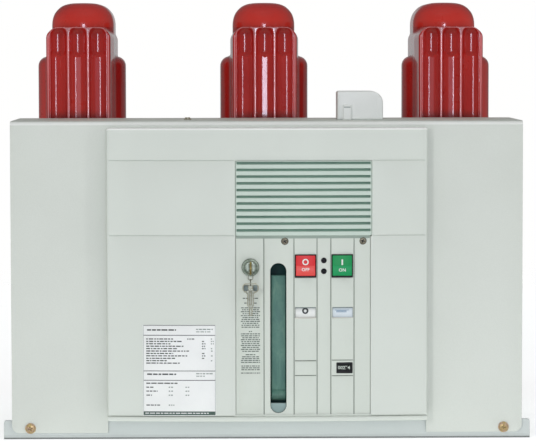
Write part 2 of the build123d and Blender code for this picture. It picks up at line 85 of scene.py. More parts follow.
# ------------------------------------------------------------------ light and floor
def area(name, place, aim, width, height, power, colour=(1, 1, 1)):
    data = bpy.data.lights.new(name, "AREA")
    data.shape, data.size, data.size_y, data.energy, data.color = "RECTANGLE", width, height, power, colour
    ob = bpy.data.objects.new(name, data)
    bpy.context.scene.collection.objects.link(ob)
    ob.location = place
    ob.rotation_euler = (Vector(aim) - Vector(place)).to_track_quat("-Z", "Y").to_euler()
    return ob


def set_world():
    world = bpy.data.worlds.new("studio")
    bpy.context.scene.world = world
    world.use_nodes = True
    t = world.node_tree
    t.nodes.clear()
    out = t.nodes.new("ShaderNodeOutputWorld")
    seen = t.nodes.new("ShaderNodeBackground")
    seen.inputs[0].default_value, seen.inputs[1].default_value = (1.0, 1.0, 0.995, 1), 1.0
    path = t.nodes.new("ShaderNodeLightPath")
    coord = t.nodes.new("ShaderNodeTexCoord")
    split = t.nodes.new("ShaderNodeSeparateXYZ")
    t.links.new(coord.outputs["Generated"], split.inputs[0])
    scale = t.nodes.new("ShaderNodeMapRange")
    scale.inputs["From Min"].default_value, scale.inputs["From Max"].default_value = -1.0, 1.0
    t.links.new(split.outputs[1], scale.inputs[0])

    def room(front, middle, back, strength, near=None):
        """Light of the room by direction, from the operator's side to behind the object."""
        ramp = t.nodes.new("ShaderNodeValToRGB")
        e = ramp.color_ramp.elements
        e[0].position, e[0].color = 0.0, (front, front * 1.01, front, 1)
        e[1].position, e[1].color = 1.0, (back, back * 1.02, back * 1.03, 1)
        e.new(0.5).color = (middle, middle * 1.02, middle * 1.02, 1)
        if near is not None:
            e.new(0.94).color = (near, near * 1.02, near * 1.02, 1)
        b = t.nodes.new("ShaderNodeBackground")
        t.links.new(scale.outputs[0], ramp.inputs[0])
        t.links.new(ramp.outputs[0], b.inputs[0])
        b.inputs[1].default_value = strength
        return b.outputs[0]
    lit, gloss = room(0.60, 0.30, 0.44, 0.60), room(0.16, 0.26, 0.44, 1.0, 0.12)
    mix = t.nodes.new("ShaderNodeMixShader")
    t.links.new(path.outputs["Is Glossy Ray"], mix.inputs[0])
    t.links.new(lit, mix.inputs[1])
    t.links.new(gloss, mix.inputs[2])
    last = t.nodes.new("ShaderNodeMixShader")
    t.links.new(path.outputs["Is Camera Ray"], last.inputs[0])
    t.links.new(mix.outputs[0], last.inputs[1])
    t.links.new(seen.outputs[0], last.inputs[2])
    t.links.new(last.outputs[0], out.inputs[0])


set_world()
area("front_strip", (0.145, -3.9, 0.43), (0, 0, 0.4), 0.54, 0.66, 18.5, (0.80, 0.82, 1.0))
area("front_wide", (-0.46, -3.9, 0.50), (0, 0, 0.3), 0.30, 1.3, 1.0, (0.95, 0.93, 1.0))
for soft in (area("key_left", (-1.25, -3.2, 0.95), (-0.1, 0, 0.25), 0.30, 1.3, 17.0),
             area("key_right", (2.0, -1.8, 0.90), (0.1, 0, 0.25), 0.30, 1.3, 5.6),
             area("top_box", (0.0, -1.0, 2.35), (0, 0, 0.2), 2.2, 1.8, 13.2),
             area("rear_fill", (0.2, 2.6, 1.6), (0, 0.1, 0.2), 1.8, 1.2, 12)):
    soft.visible_glossy = False

scene = bpy.context.scene
scene.view_settings.view_transform = "Standard"
scene.view_settings.look = "None"
scene.view_settings.exposure = 0.0
scene.view_settings.gamma = 1.0


# ------------------------------------------------------------------ material nodes
class Mat:
    """A node material with a Principled shader; textures run on object coordinates, in metres."""

    def __init__(self, name, base, rough=0.5, metal=0.0, **sockets):
        self.m = bpy.data.materials.new(name)
        self.m.use_nodes = True
        self.t = self.m.node_tree
        self.t.nodes.clear()
        self.out = self.t.nodes.new("ShaderNodeOutputMaterial")
        self.b = self.t.nodes.new("ShaderNodeBsdfPrincipled")
        self.t.links.new(self.b.outputs[0], self.out.inputs[0])
        self.b.inputs["Base Color"].default_value = base
        self.b.inputs["Roughness"].default_value = rough
        self.b.inputs["Metallic"].default_value = metal
        for k, v in sockets.items():
            self.b.inputs[k.replace("_", " ")].default_value = v
        self.coord = self.t.nodes.new("ShaderNodeTexCoord").outputs["Object"]

    def node(self, kind, links=None, **props):
        n = self.t.nodes.new(kind)
        for k, v in props.items():
            setattr(n, k, v)
        for k, v in (links or {}).items():
            s = n.inputs[k]
            if hasattr(v, "is_output") or isinstance(v, bpy.types.NodeSocket):
                self.t.links.new(v, s)
            else:
                s.default_value = v
        return n

    def stretch(self, sx, sy, sz):
        return self.node("ShaderNodeMapping", {"Vector": self.coord, "Scale": (sx, sy, sz)}).outputs[0]

    def noise(self, scale, detail=2.0, rough=0.5, vec=None, distort=0.0):
        n = self.node("ShaderNodeTexNoise", {"Vector": vec or self.coord, "Scale": scale, "Detail": detail,
                                             "Roughness": rough, "Distortion": distort})
        return n.outputs["Fac"] if "Fac" in n.outputs else n.outputs[0]

    def cells(self, scale, feature="F1", vec=None, out="Distance"):
        n = self.node("ShaderNodeTexVoronoi", {"Vector": vec or self.coord, "Scale": scale}, feature=feature)
        return n.outputs[out]

    def ramp(self, fac, *stops):
        n = self.node("ShaderNodeValToRGB", {"Fac": fac})
        e = n.color_ramp.elements
        while len(e) > 1:
            e.remove(e[-1])
        for i, (p, c) in enumerate(stops):
            el = e[0] if i == 0 else e.new(p)
            el.position = p
            el.color = c if len(c) == 4 else (*c, 1)
        return n.outputs["Color"]

    def map(self, fac, a, b, c, d):
        return self.node("ShaderNodeMapRange", {0: fac, 1: a, 2: b, 3: c, 4: d}).outputs[0]

    def mix(self, fac, a, b, kind="MIX"):
        n = self.t.nodes.new("ShaderNodeMix")
        n.data_type, n.blend_type = "RGBA", kind
        for i, v in ((0, fac), (6, a), (7, b)):
            if isinstance(v, bpy.types.NodeSocket):
                self.t.links.new(v, n.inputs[i])
            else:
                n.inputs[i].default_value = v
        return n.outputs[2]

    def math(self, op, a, b=0.0, clamp=False):
        n = self.node("ShaderNodeMath", {0: a, 1: b}, operation=op)
        n.use_clamp = clamp
        return n.outputs[0]

    def bump(self, height, strength, distance, normal=None):
        n = self.node("ShaderNodeBump", {"Height": height, "Strength": strength, "Distance": distance})
        if normal is not None:
            self.t.links.new(normal, n.inputs["Normal"])
        return n.outputs[0]

    def to(self, socket, value):
        self.t.links.new(value, self.b.inputs[socket])
        return self

    def edges(self, radius, low=0.02, high=0.25):
        """Mask that is 1 along the outer and inner edges of the piece."""
        bev = self.node("ShaderNodeBevel", {"Radius": radius}, samples=4)
        geo = self.node("ShaderNodeNewGeometry")
        dot = self.node("ShaderNodeVectorMath", {0: bev.outputs[0], 1: geo.outputs["Normal"]}, operation="DOT_PRODUCT")
        return self.map(self.math("SUBTRACT", 1.0, dot.outputs["Value"]), low, high, 0.0, 1.0)

    # ambient occlusion, used to paint shade into hollows and creases
    def occlusion_shade(self, distance, samples=4):
        ao = self.node("ShaderNodeAmbientOcclusion", {"Distance": distance}, samples=samples)
        return ao.outputs["AO"]


def _upward(m, a, b, c, d):
    """Mask of faces that lean back, between nearly upright and nearly level."""
    nz = m.node("ShaderNodeSeparateXYZ", {0: m.node("ShaderNodeNewGeometry").outputs["Normal"]}).outputs[2]
    return m.math("MULTIPLY", m.map(nz, a, b, 0.0, 1.0), m.map(nz, c, d, 1.0, 0.0))


Mat.upward = _upward


def shade(c, k):
    return (min(c[0] * k, 1), min(c[1] * k, 1), min(c[2] * k, 1), 1)


def paint(name, base, rough=0.42, peel=0.16, edge_wear_and_highlight=True, spread=0.035, fold=False, foot=False):
    """Powder coat: slow tint drift, fine orange peel, rub marks, and lighter edges that are partly wear and partly
    painted highlight.
    """
    m = Mat(name, base, rough, Specular_IOR_Level=0.42)
    drift = m.noise(5.5, 3.0, 0.55)
    speck = m.noise(900.0, 2.0, 0.6)
    tint = m.ramp(drift, (0.30, shade(base, 1 - spread)), (0.50, base), (0.72, shade(base, 1 + spread * 0.7)))
    tint = m.mix(m.map(speck, 0.42, 0.62, 0.0, 0.10), tint, shade(base, 0.80))
    rub = m.noise(34.0, 5.0, 0.7, m.stretch(1.0, 1.0, 0.35), 0.4)
    # lighter edges: partly wear, partly painted highlight
    if edge_wear_and_highlight:
        edge = m.math("MULTIPLY", m.edges(0.0011), m.map(m.noise(140.0, 4.0, 0.65), 0.30, 0.62, 0.25, 1.0))
        tint = m.mix(m.math("MULTIPLY", edge, 0.55), tint, shade(base, 1.16))
    if fold or foot:
        height = m.node("ShaderNodeSeparateXYZ", {0: m.coord}).outputs[2]
    if fold:        # painted highlight along the long fold at the top
        tint = m.mix(m.math("MULTIPLY", m.upward(0.06, 0.30, 0.70, 0.94), m.map(height, 0.3365, 0.3390, 0.0, 0.55)), tint, srgb(252, 253, 250))
    if foot:        # painted shade below the step of the sheet and a painted dark line along the bottom edge
        tint = m.mix(m.map(height, 0.0050, 0.0040, 0.0, 0.30), tint, shade(base, 0.70))
        tint = m.mix(m.map(height, 0.0022, 0.0008, 0.0, 0.90), tint, shade(base, 0.14))
    m.to("Base Color", tint)
    m.to("Roughness", m.map(rub, 0.3, 0.75, rough - 0.06, rough + 0.10))
    peelh = m.math("ADD", m.noise(620.0, 2.0, 0.5), m.math("MULTIPLY", m.noise(2300.0, 1.0, 0.5), 0.35))
    m.to("Normal", m.bump(peelh, peel, 0.0006))
    return m.m


def moulded(name, base, rough=0.46, grain=0.14, size=1500.0, spread=0.022, edge_wear_and_highlight=0.35, fold=False):
    """Injection moulded plastic: spark-eroded grain, faint flow marks, and lighter edges that are partly polish and
    partly painted highlight.
    """
    m = Mat(name, base, rough, Specular_IOR_Level=0.45)
    flow = m.noise(9.0, 3.0, 0.5, m.stretch(1.0, 1.0, 0.4), 0.8)
    tint = m.ramp(flow, (0.32, shade(base, 1 - spread)), (0.52, base), (0.74, shade(base, 1 + spread)))
    tint = m.mix(m.map(m.noise(1100.0, 2.0, 0.6), 0.45, 0.65, 0.0, 0.07), tint, shade(base, 0.82))
    # lighter edges: partly polish, partly painted highlight
    if edge_wear_and_highlight:
        edge = m.math("MULTIPLY", m.edges(0.0008), m.map(m.noise(180.0, 3.0, 0.6), 0.34, 0.6, 0.2, 1.0))
        tint = m.mix(m.math("MULTIPLY", edge, edge_wear_and_highlight), tint, shade(base, 1.14))
    # painted highlight along the rounded top edge
    if fold:
        height = m.node("ShaderNodeSeparateXYZ", {0: m.coord}).outputs[2]
        tint = m.mix(m.math("MULTIPLY", m.upward(0.06, 0.30, 2.0, 3.0), m.map(height, 0.3300, 0.3320, 0.0, 0.85)), tint, srgb(252, 253, 250))
    m.to("Base Color", tint)
    m.to("Roughness", m.map(m.noise(48.0, 4.0, 0.65), 0.3, 0.72, rough - 0.05, rough + 0.09))
    m.to("Normal", m.bump(m.math("ADD", m.cells(size), m.math("MULTIPLY", m.noise(size * 0.55, 2.0, 0.5), 0.8)), grain, 0.00035))
    return m.m


def resin(name="red_resin_gloss", pale=0.0):
    """Glossy cast epoxy: deep brick red, faint cloudiness, crisp clear gloss and fine dust, with painted highlight
    along the arrises, painted reflection on the small flat fields above the flutes, painted shade in the flutes and
    painted light on the foot of the dome."""
    base = srgb(190, 34, 27)
    m = Mat(name, base, 0.42, Specular_IOR_Level=0.3, Coat_Weight=0.9, Coat_Roughness=0.04, Coat_IOR=1.5)
    cloud = m.noise(16.0, 4.0, 0.6, m.stretch(1.0, 1.0, 0.45), 0.5)
    tint = m.ramp(cloud, (0.30, srgb(172, 25, 23)), (0.50, base), (0.72, srgb(200, 42, 33)))
    dust = m.map(m.cells(420.0), 0.0, 0.10, 1.0, 0.0)
    tint = m.mix(m.math("MULTIPLY", dust, 0.14), tint, srgb(206, 150, 140))
    height = m.node("ShaderNodeSeparateXYZ", {0: m.coord}).outputs[2]
    low = m.map(height, 0.444, 0.450, 1.0, 0.25)        # the painted shade stays off the domes
    # painted shade: darker red where ambient occlusion finds the flutes and creases
    tint = m.mix(m.math("MULTIPLY", m.map(m.occlusion_shade(0.012, 6), 0.60, 0.985, 0.95, 0.0), low), tint, srgb(84, 9, 14))
    geo = m.node("ShaderNodeNewGeometry")
    up = m.node("ShaderNodeSeparateXYZ", {0: geo.outputs["Normal"]})
    # painted reflection: grey lavender on the small flat fields that face forward above the flutes
    spandrel_reflection = m.math("MULTIPLY", m.map(up.outputs[1], -0.72, -0.92, 0.0, 1.0), m.map(up.outputs[2], -0.20, -0.02, 0.0, 1.0))
    spandrel_reflection = m.math("MULTIPLY", spandrel_reflection, m.map(height, 0.4325, 0.4375, 0.0, 1.0))
    spandrel_reflection = m.math("MULTIPLY", spandrel_reflection, m.map(height, 0.4462, 0.4468, 1.0, 0.0))
    depth = m.node("ShaderNodeSeparateXYZ", {0: m.coord}).outputs[1]
    spandrel_reflection = m.math("MULTIPLY", spandrel_reflection, m.map(depth, -0.0203, -0.0194, 1.0, 0.0))
    tint = m.mix(m.math("MULTIPLY", spandrel_reflection, 0.62), tint, srgb(176, 148, 156))
    # painted highlight along the arrises and other edges
    edge = m.math("MULTIPLY", m.edges(0.0019, 0.012, 0.12), m.map(m.noise(120.0, 4.0, 0.6), 0.3, 0.62, 0.8, 1.0))
    tint = m.mix(m.math("MULTIPLY", edge, 0.92), tint, srgb(236, 160, 164))
    if pale:        # painted highlight on the ridges between the flutes
        tint = m.mix(m.map(m.noise(90.0, 3.0, 0.6), 0.3, 0.7, pale * 0.8, pale), tint, srgb(238, 168, 172))
    dome_foot_light = m.math("MULTIPLY", m.map(height, 0.4462, 0.4475, 0.0, 1.0), m.map(height, 0.455, 0.470, 1.0, 0.0))
    tint = m.mix(m.math("MULTIPLY", dome_foot_light, 0.55), tint, srgb(228, 62, 48))        # painted light: the dome is a little paler where it rises from the block
    m.to("Base Color", tint)
    m.to("Roughness", m.map(m.noise(70.0, 4.0, 0.6), 0.3, 0.7, 0.26, 0.36))
    m.to("Coat Roughness", m.map(up.outputs[2], 0.55, 0.9, 0.06, 0.38))      # duller on the upper faces, where dust lies
    ripple = m.math("ADD", m.noise(150.0, 2.0, 0.5), m.math("MULTIPLY", m.noise(900.0, 1.0, 0.5), 0.15))
    m.to("Normal", m.bump(ripple, 0.04, 0.0004))
    return m.m


def zinc_sheet():
    """Galvanised sheet: spangle of many tints and gloss, white bloom, fine rolling lines."""
    base = srgb(188, 193, 194)
    m = Mat("galvanised_sheet", base, 0.42, 0.5)
    spangle = m.cells(95.0, out="Color", vec=m.stretch(1.0, 1.0, 1.0))
    grey = m.node("ShaderNodeSeparateColor", {0: spangle}).outputs[0]
    tint = m.ramp(grey, (0.0, srgb(166, 172, 174)), (0.5, base), (1.0, srgb(208, 212, 211)))
    bloom = m.map(m.noise(26.0, 5.0, 0.65), 0.52, 0.72, 0.0, 0.55)
    tint = m.mix(bloom, tint, srgb(196, 199, 198))
    tint = m.mix(m.math("MULTIPLY", m.edges(0.0009), 0.6), tint, srgb(222, 224, 222))
    m.to("Base Color", tint)
    m.to("Roughness", m.math("ADD", m.map(grey, 0.0, 1.0, 0.30, 0.50), m.math("MULTIPLY", bloom, 0.25)))
    m.to("Metallic", m.map(bloom, 0.0, 0.55, 0.5, 0.25))
    m.to("Normal", m.bump(m.math("ADD", grey, m.noise(700.0, 2.0, 0.5, m.stretch(0.08, 1.0, 1.0))), 0.05, 0.0004))
    return m.m


def plated(name, base, second, rough=0.26, metal=1.0, patch=60.0, grain=0.05, stretch=(1, 1, 1)):
    """Plated metal: patchy tint, fine turning or brushing lines, brighter rubbed edges."""
    m = Mat(name, base, rough, metal)
    tint = m.ramp(m.noise(patch, 4.0, 0.6), (0.32, second), (0.55, base), (0.75, shade(base, 1.12)))
    edge = m.math("MULTIPLY", m.edges(0.0004), m.map(m.noise(400.0, 3.0, 0.6), 0.3, 0.6, 0.2, 1.0))
    tint = m.mix(m.math("MULTIPLY", edge, 0.6), tint, shade(base, 1.35))
    # painted shade in the hollows, from ambient occlusion
    tint = m.mix(m.map(m.occlusion_shade(0.0012), 0.35, 0.85, 0.6, 0.0), tint, shade(base, 0.25))
    m.to("Base Color", tint)
    lines = m.noise(1500.0, 2.0, 0.55, m.stretch(*stretch))
    m.to("Roughness", m.map(lines, 0.3, 0.7, max(rough - 0.09, 0.05), rough + 0.12))
    m.to("Normal", m.bump(lines, grain * 0.5, 0.00012))
    return m.m


def chromate():
    """Yellow chromated zinc: straw to pinkish and greenish interference tints."""
    base = srgb(216, 188, 130)
    m = Mat("yellow_chromate", base, 0.36, 0.55)
    tint = m.ramp(m.noise(210.0, 3.0, 0.6, distort=0.6), (0.30, srgb(196, 172, 108)), (0.45, srgb(220, 194, 134)),
                  (0.58, srgb(216, 182, 154)), (0.72, srgb(196, 194, 156)))
    tint = m.mix(m.math("MULTIPLY", m.edges(0.0004), 0.5), tint, srgb(232, 220, 190))
    # painted shade in the hollows, from ambient occlusion
    tint = m.mix(m.map(m.occlusion_shade(0.0016), 0.3, 0.85, 0.6, 0.0), tint, srgb(96, 78, 52))
    m.to("Base Color", tint)
    m.to("Roughness", m.map(m.noise(500.0, 3.0, 0.6), 0.3, 0.7, 0.26, 0.46))
    m.to("Normal", m.bump(m.noise(1300.0, 2.0, 0.5), 0.10, 0.0003))
    return m.m


def film(name, base, rough=0.38, weave=0.04):
    """Printed film or plate: nearly even, with a slight cast, soft dents and handling marks."""
    m = Mat(name, base, rough)
    tint = m.ramp(m.noise(30.0, 4.0, 0.6), (0.32, shade(base, 0.965)), (0.55, base), (0.75, shade(base, 1.02)))
    tint = m.mix(m.map(m.noise(260.0, 4.0, 0.7), 0.60, 0.74, 0.0, 0.14), tint, shade(base, 0.78))
    # painted shade in the hollows, from ambient occlusion
    tint = m.mix(m.map(m.occlusion_shade(0.0015), 0.35, 0.9, 0.25, 0.0), tint, shade(base, 0.6))
    m.to("Base Color", tint)
    m.to("Roughness", m.map(m.noise(90.0, 4.0, 0.7), 0.3, 0.7, rough - 0.08, rough + 0.12))
    m.to("Normal", m.bump(m.noise(420.0, 3.0, 0.5), weave, 0.0005))
    return m.m


def ink(name, base, rough=0.5):
    m = Mat(name, base, rough)
    tint = m.ramp(m.noise(1900.0, 3.0, 0.7), (0.30, shade(base, 1.35)), (0.48, base), (0.80, shade(base, 0.82)))
    m.to("Base Color", tint)
    m.to("Roughness", m.map(m.noise(700.0, 3.0, 0.6), 0.3, 0.7, rough - 0.1, rough + 0.12))
    m.to("Normal", m.bump(m.noise(2400.0, 2.0, 0.5), 0.06, 0.0001))
    return m.m


def lever_paint():
    """Grey-green enamel on the lever, mottled by hands, with upright rub marks; painted shade makes its lower end
    nearly black and its upper part a little darker.
    """
    base = srgb(90, 132, 119)
    m = Mat("lever_enamel", base, 0.42, Specular_IOR_Level=0.4)
    mottle = m.noise(95.0, 5.0, 0.66, m.stretch(1.0, 1.0, 0.42), 0.5)
    tint = m.ramp(mottle, (0.28, srgb(66, 112, 101)), (0.46, srgb(86, 130, 116)), (0.60, srgb(102, 142, 126)), (0.78, srgb(122, 155, 136)))
    streak = m.noise(300.0, 3.0, 0.6, m.stretch(1.0, 1.0, 0.07))
    tint = m.mix(m.map(streak, 0.50, 0.70, 0.0, 0.30), tint, srgb(70, 108, 98))
    height = m.node("ShaderNodeSeparateXYZ", {0: m.coord}).outputs[2]
    # painted shade: nearly black at the lower end, and a little darker towards the top
    tint = m.mix(m.map(height, 0.040, 0.055, 0.92, 0.0), tint, srgb(6, 34, 30))
    tint = m.mix(m.map(height, 0.060, 0.185, 0.0, 0.22), tint, srgb(52, 96, 92))
    edge = m.math("MULTIPLY", m.edges(0.0007), m.map(m.noise(260.0, 4.0, 0.65), 0.34, 0.6, 0.15, 1.0))
    tint = m.mix(m.math("MULTIPLY", edge, 0.55), tint, srgb(160, 184, 170))
    m.to("Base Color", tint)
    m.to("Roughness", m.map(mottle, 0.3, 0.7, 0.34, 0.52))
    m.to("Normal", m.bump(m.math("ADD", m.noise(800.0, 2.0, 0.5), m.math("MULTIPLY", streak, 0.6)), 0.12, 0.0004))
    return m.m


def stage_floor():
    """Pale studio floor that thins out towards the pale surroundings."""
    base = srgb(238, 239, 238)
    m = Mat("studio_floor", base, 0.62, Specular_IOR_Level=0.25, Emission_Color=(0.98, 0.99, 1.0, 1), Emission_Strength=0.60)
    m.to("Base Color", m.ramp(m.noise(2.6, 4.0, 0.6), (0.3, shade(base, 0.975)), (0.6, base), (0.8, shade(base, 1.02))))
    m.to("Roughness", m.map(m.noise(12.0, 4.0, 0.6), 0.3, 0.7, 0.55, 0.72))
    m.to("Normal", m.bump(m.noise(160.0, 3.0, 0.5), 0.05, 0.001))
    far = m.node("ShaderNodeVectorMath", {0: m.coord}, operation="LENGTH").outputs["Value"]
    clear = m.t.nodes.new("ShaderNodeBsdfTransparent")
    mix = m.t.nodes.new("ShaderNodeMixShader")
    fade = m.node("ShaderNodeMapRange", {0: far, 1: 0.75, 2: 2.3, 3: 0.0, 4: 1.0}, interpolation_type="SMOOTHSTEP").outputs[0]
    m.t.links.new(fade, mix.inputs[0])
    m.t.links.new(m.b.outputs[0], mix.inputs[1])
    m.t.links.new(clear.outputs[0], mix.inputs[2])
    m.t.links.new(mix.outputs[0], m.out.inputs[0])
    return m.m


MAT = {
    "steel_paint": paint("steel_paint", srgb(212, 217, 209), fold=True),
    "base_paint": paint("base_paint", srgb(202, 209, 206), 0.46, foot=True),
    "cover": moulded("cover_moulding", srgb(212, 218, 210), fold=True),
    "insert": moulded("insert_moulding", srgb(208, 215, 205.5), 0.44),
    "louvre": moulded("louvre_moulding", srgb(199, 214, 203), 0.48),
    "louvre_back": moulded("louvre_screen", srgb(140, 170, 156), 0.6, 0.2, 900.0, 0.06, 0.0),
    "resin": resin(),
    "arris": resin("red_resin_ridge", 0.62),
    "zinc": zinc_sheet(),
    "dark": paint("dark_enamel", srgb(34, 38, 38), 0.5, 0.2, True, 0.2),
    "black": moulded("black_moulding", srgb(24, 26, 26), 0.42, 0.2, 1400.0, 0.12, 0.4),
    "screw": plated("screw_zinc", srgb(186, 180, 158), srgb(150, 142, 120), 0.32, 0.6),
    "chromate": chromate(),
    "nickel": plated("lock_nickel", srgb(176, 188, 172), srgb(122, 136, 120), 0.26, 0.3, 90.0, 0.02),
    "key_steel": plated("key_nickel", srgb(184, 186, 170), srgb(134, 136, 120), 0.3, 0.9, 120.0, 0.02),
    "brass": plated("key_brass", srgb(186, 166, 104), srgb(140, 122, 72), 0.36, 0.85, 130.0, 0.02),
    "silver": plated("busbar_silver", srgb(212, 211, 204), srgb(182, 178, 166), 0.32, 0.55, 30.0, 0.05, (1, 0.06, 1)),
    "bolt": plated("bolt_zinc", srgb(190, 194, 196), srgb(156, 160, 160), 0.32, 0.55, 80.0, 0.05),
    "lever": lever_paint(),
    "stop": moulded("slot_stop_plastic", srgb(142, 164, 162), 0.5, 0.16),
    "red": moulded("button_red", srgb(214, 40, 44), 0.34, 0.08, 1600.0, 0.04, 0.3),
    "red_light": moulded("button_red_light", srgb(226, 78, 72), 0.34, 0.08, 1600.0, 0.04, 0.2),
    "green": moulded("button_green", srgb(0, 144, 76), 0.4, 0.08, 1600.0, 0.0, 0.2),
    "green_light": moulded("button_green_light", srgb(0, 152, 86), 0.4, 0.08, 1600.0, 0.0, 0.15),
    "white": moulded("white_plastic", srgb(228, 231, 228), 0.4, 0.08, 1700.0, 0.015, 0.15),
    "blue_white": moulded("spring_drum", srgb(212, 222, 228), 0.4, 0.08, 1700.0, 0.02, 0.15),
    "plate": film("plate_white", srgb(236, 238, 236)),
    "strip": film("strip_grey", srgb(208, 215, 205), 0.36),
    "shade_grey": moulded("parting_shade", srgb(172, 180, 178), 0.6, 0.1, 1300.0, 0.06, 0.2),
    # painted shadow under the louvre
    "louvre_shadow": moulded("painted_louvre_shadow", srgb(152, 166, 156), 0.7, 0.1, 1300.0, 0.06, 0.0),
    "seam": moulded("seam_shade", srgb(134, 142, 134), 0.6, 0.1, 1300.0, 0.06, 0.0),
    "liner": moulded("slot_liner_dark", srgb(0, 60, 56), 0.6, 0.2, 900.0, 0.06, 0.0),
    "window_shadow": moulded("window_shade", srgb(116, 128, 126), 0.5, 0.1, 1500.0, 0.05, 0.2),
    "sill": moulded("window_sill", srgb(222, 218, 208), 0.42, 0.08, 1500.0, 0.02, 0.2),
    "key_face": plated("key_face_nickel", srgb(186, 190, 172), srgb(146, 148, 130), 0.38, 0.7, 150.0, 0.02),
    "key_dull": plated("key_bow_nickel", srgb(126, 138, 130), srgb(92, 102, 96), 0.42, 0.7, 150.0, 0.02),
    "screw_dull": plated("panel_screw_zinc", srgb(150, 144, 124), srgb(104, 98, 82), 0.36, 0.6),
    "ink_pale": ink("ink_pale", srgb(206, 216, 206), 0.4),
    "ink_soft": ink("ink_soft_grey", srgb(94, 106, 98)),
    "ink_band": ink("ink_band", srgb(70, 92, 82)),
    "ink": ink("ink_dark", srgb(58, 64, 62)),
    "ink_grey": ink("ink_grey", srgb(126, 138, 130)),
    "ink_white": ink("ink_white", srgb(226, 230, 224), 0.4),
    "ink_blue": ink("ink_blue_grey", srgb(120, 148, 172)),
    "connector": moulded("connector_moulding", srgb(237, 240, 236), 0.42, 0.1, 1300.0),
    "rubber": moulded("dark_rubber", srgb(30, 32, 33), 0.7, 0.25, 900.0, 0.1, 0.2),
}


# ------------------------------------------------------------------ mesh helpers
def face_y(x):
    """y of the bowed cover face at x."""
    r = (COVER_HALF ** 2 + (COVER_SIDE - COVER_MID) ** 2) / (2 * (COVER_SIDE - COVER_MID))
    return COVER_MID + r - math.sqrt(max(r * r - x * x, 0.0))


def bowed(u, v, d):
    return (u, face_y(u) + d if d < 50 else d - 100.0, v)


def flat(u, v, d):
    return (u, d, v)


class Shell:
    """Joined mesh under construction: vertices, faces and a material number for each face."""

    def __init__(self):
        self.v, self.f, self.k = [], [], []

    def add(self, verts, faces, k=0):
        n = len(self.v)
        self.v += [tuple(p) for p in verts]
        self.f += [tuple(i + n for i in f) for f in faces]
        self.k += [k] * len(faces)
        return n

    def make(self, name, mats, body="breaker", replaces=(), smooth=40.0, weld=1e-6, recalc=True):
        me = bpy.data.meshes.new(name)
        co = [(x / 1000.0, (y - OY) / 1000.0, z / 1000.0) for x, y, z in self.v]
        me.from_pydata(co, [], self.f)
        me.polygons.foreach_set("material_index", self.k)
        for m in mats:
            me.materials.append(MAT[m])
        bm = bmesh.new()
        bm.from_mesh(me)
        if weld:
            bmesh.ops.remove_doubles(bm, verts=bm.verts, dist=weld)
            bmesh.ops.dissolve_degenerate(bm, dist=1e-8, edges=bm.edges)
        if recalc:
            bmesh.ops.recalc_face_normals(bm, faces=bm.faces)
        bm.to_mesh(me)
        bm.free()
        me.polygons.foreach_set("use_smooth", [True] * len(me.polygons))
        me.set_sharp_from_angle(angle=math.radians(smooth))
        me.update()
        ob = bpy.data.objects.new(name, me)
        bpy.context.scene.collection.objects.link(ob)
        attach(ob, body)
        if replaces:
            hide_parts(*replaces)
        return ob


def contour(pts, radii=0.0, off=0.0, seg=5, step=None):
    """Closed outline, counter-clockwise, with rounded corners, moved inwards by off.
    The number of points does not depend on off, so outlines at several offsets can be joined."""
    n = len(pts)
    if not isinstance(radii, (list, tuple)):
        radii = [radii] * n
    corners = []
    for i in range(n):
        p0, p1, p2 = Vector(pts[i - 1]), Vector(pts[i]), Vector(pts[(i + 1) % n])
        d1, d2 = (p1 - p0).normalized(), (p2 - p1).normalized()
        n1, n2 = Vector((-d1.y, d1.x)), Vector((-d2.y, d2.x))
        cross, dot = d1.x * d2.y - d1.y * d2.x, max(-1.0, min(1.0, d1.dot(d2)))
        c = p1 + n1 * off if abs(cross) < 1e-9 else p1 + (n1 + n2) * (off / (1 + dot))
        if radii[i] == 0 or abs(cross) < 1e-9:
            corners.append([c])
            continue
        left = cross > 0
        rr = max(radii[i] - off if left else radii[i] + off, 1e-3)
        phi = math.acos(dot)
        a = c - d1 * (rr * math.tan(phi / 2))
        mid = a + (n1 if left else -n1) * rr
        arm = a - mid
        arc = []
        for k in range(seg + 1):
            w = phi * k / seg * (1 if left else -1)
            arc.append(mid + Vector((arm.x * math.cos(w) - arm.y * math.sin(w), arm.x * math.sin(w) + arm.y * math.cos(w))))
        corners.append(arc)
    out = []
    for i in range(n):
        out += corners[i]
        if step:
            size = (Vector(pts[(i + 1) % n]) - Vector(pts[i])).length
            m = max(int(math.ceil(size / step - 1e-9)), 1)
            a, b = corners[i][-1], corners[(i + 1) % n][0]
            out += [a.lerp(b, k / m) for k in range(1, m)]
    return [(p[0], p[1]) for p in out]


def rect(x0, x1, z0, z1, r=0.0, seg=5, step=None):
    pts = [(x0, z0), (x1, z0), (x1, z1), (x0, z1)]
    return lambda off: contour(pts, r, off, seg, step)


def ring(cx, cz, r, n=28):
    return lambda off: [(cx + (r - off) * math.cos(2 * math.pi * i / n), cz + (r - off) * math.sin(2 * math.pi * i / n)) for i in range(n)]


def stadium(x0, x1, z0, z1, n=12):
    r, xm = (x1 - x0) / 2, (x0 + x1) / 2
    return lambda off: [(xm + (r - off) * math.cos(a), c + (r - off) * math.sin(a))
                        for c, s in ((z0 + r, math.pi), (z1 - r, 0.0))
                        for a in [s + math.pi * i / n for i in range(n + 1)]]


def inside(poly, p):
    poly, p = np.asarray(poly), np.asarray(p)
    x, y = p[:, 0], p[:, 1]
    hit = np.zeros(len(p), bool)
    a, b = poly, np.roll(poly, -1, axis=0)
    for (x0, y0), (x1, y1) in zip(a, b):
        if y0 == y1:
            continue
        cut = ((y0 > y) != (y1 > y)) & (x < (x1 - x0) * (y - y0) / (y1 - y0) + x0)
        hit ^= cut
    return hit


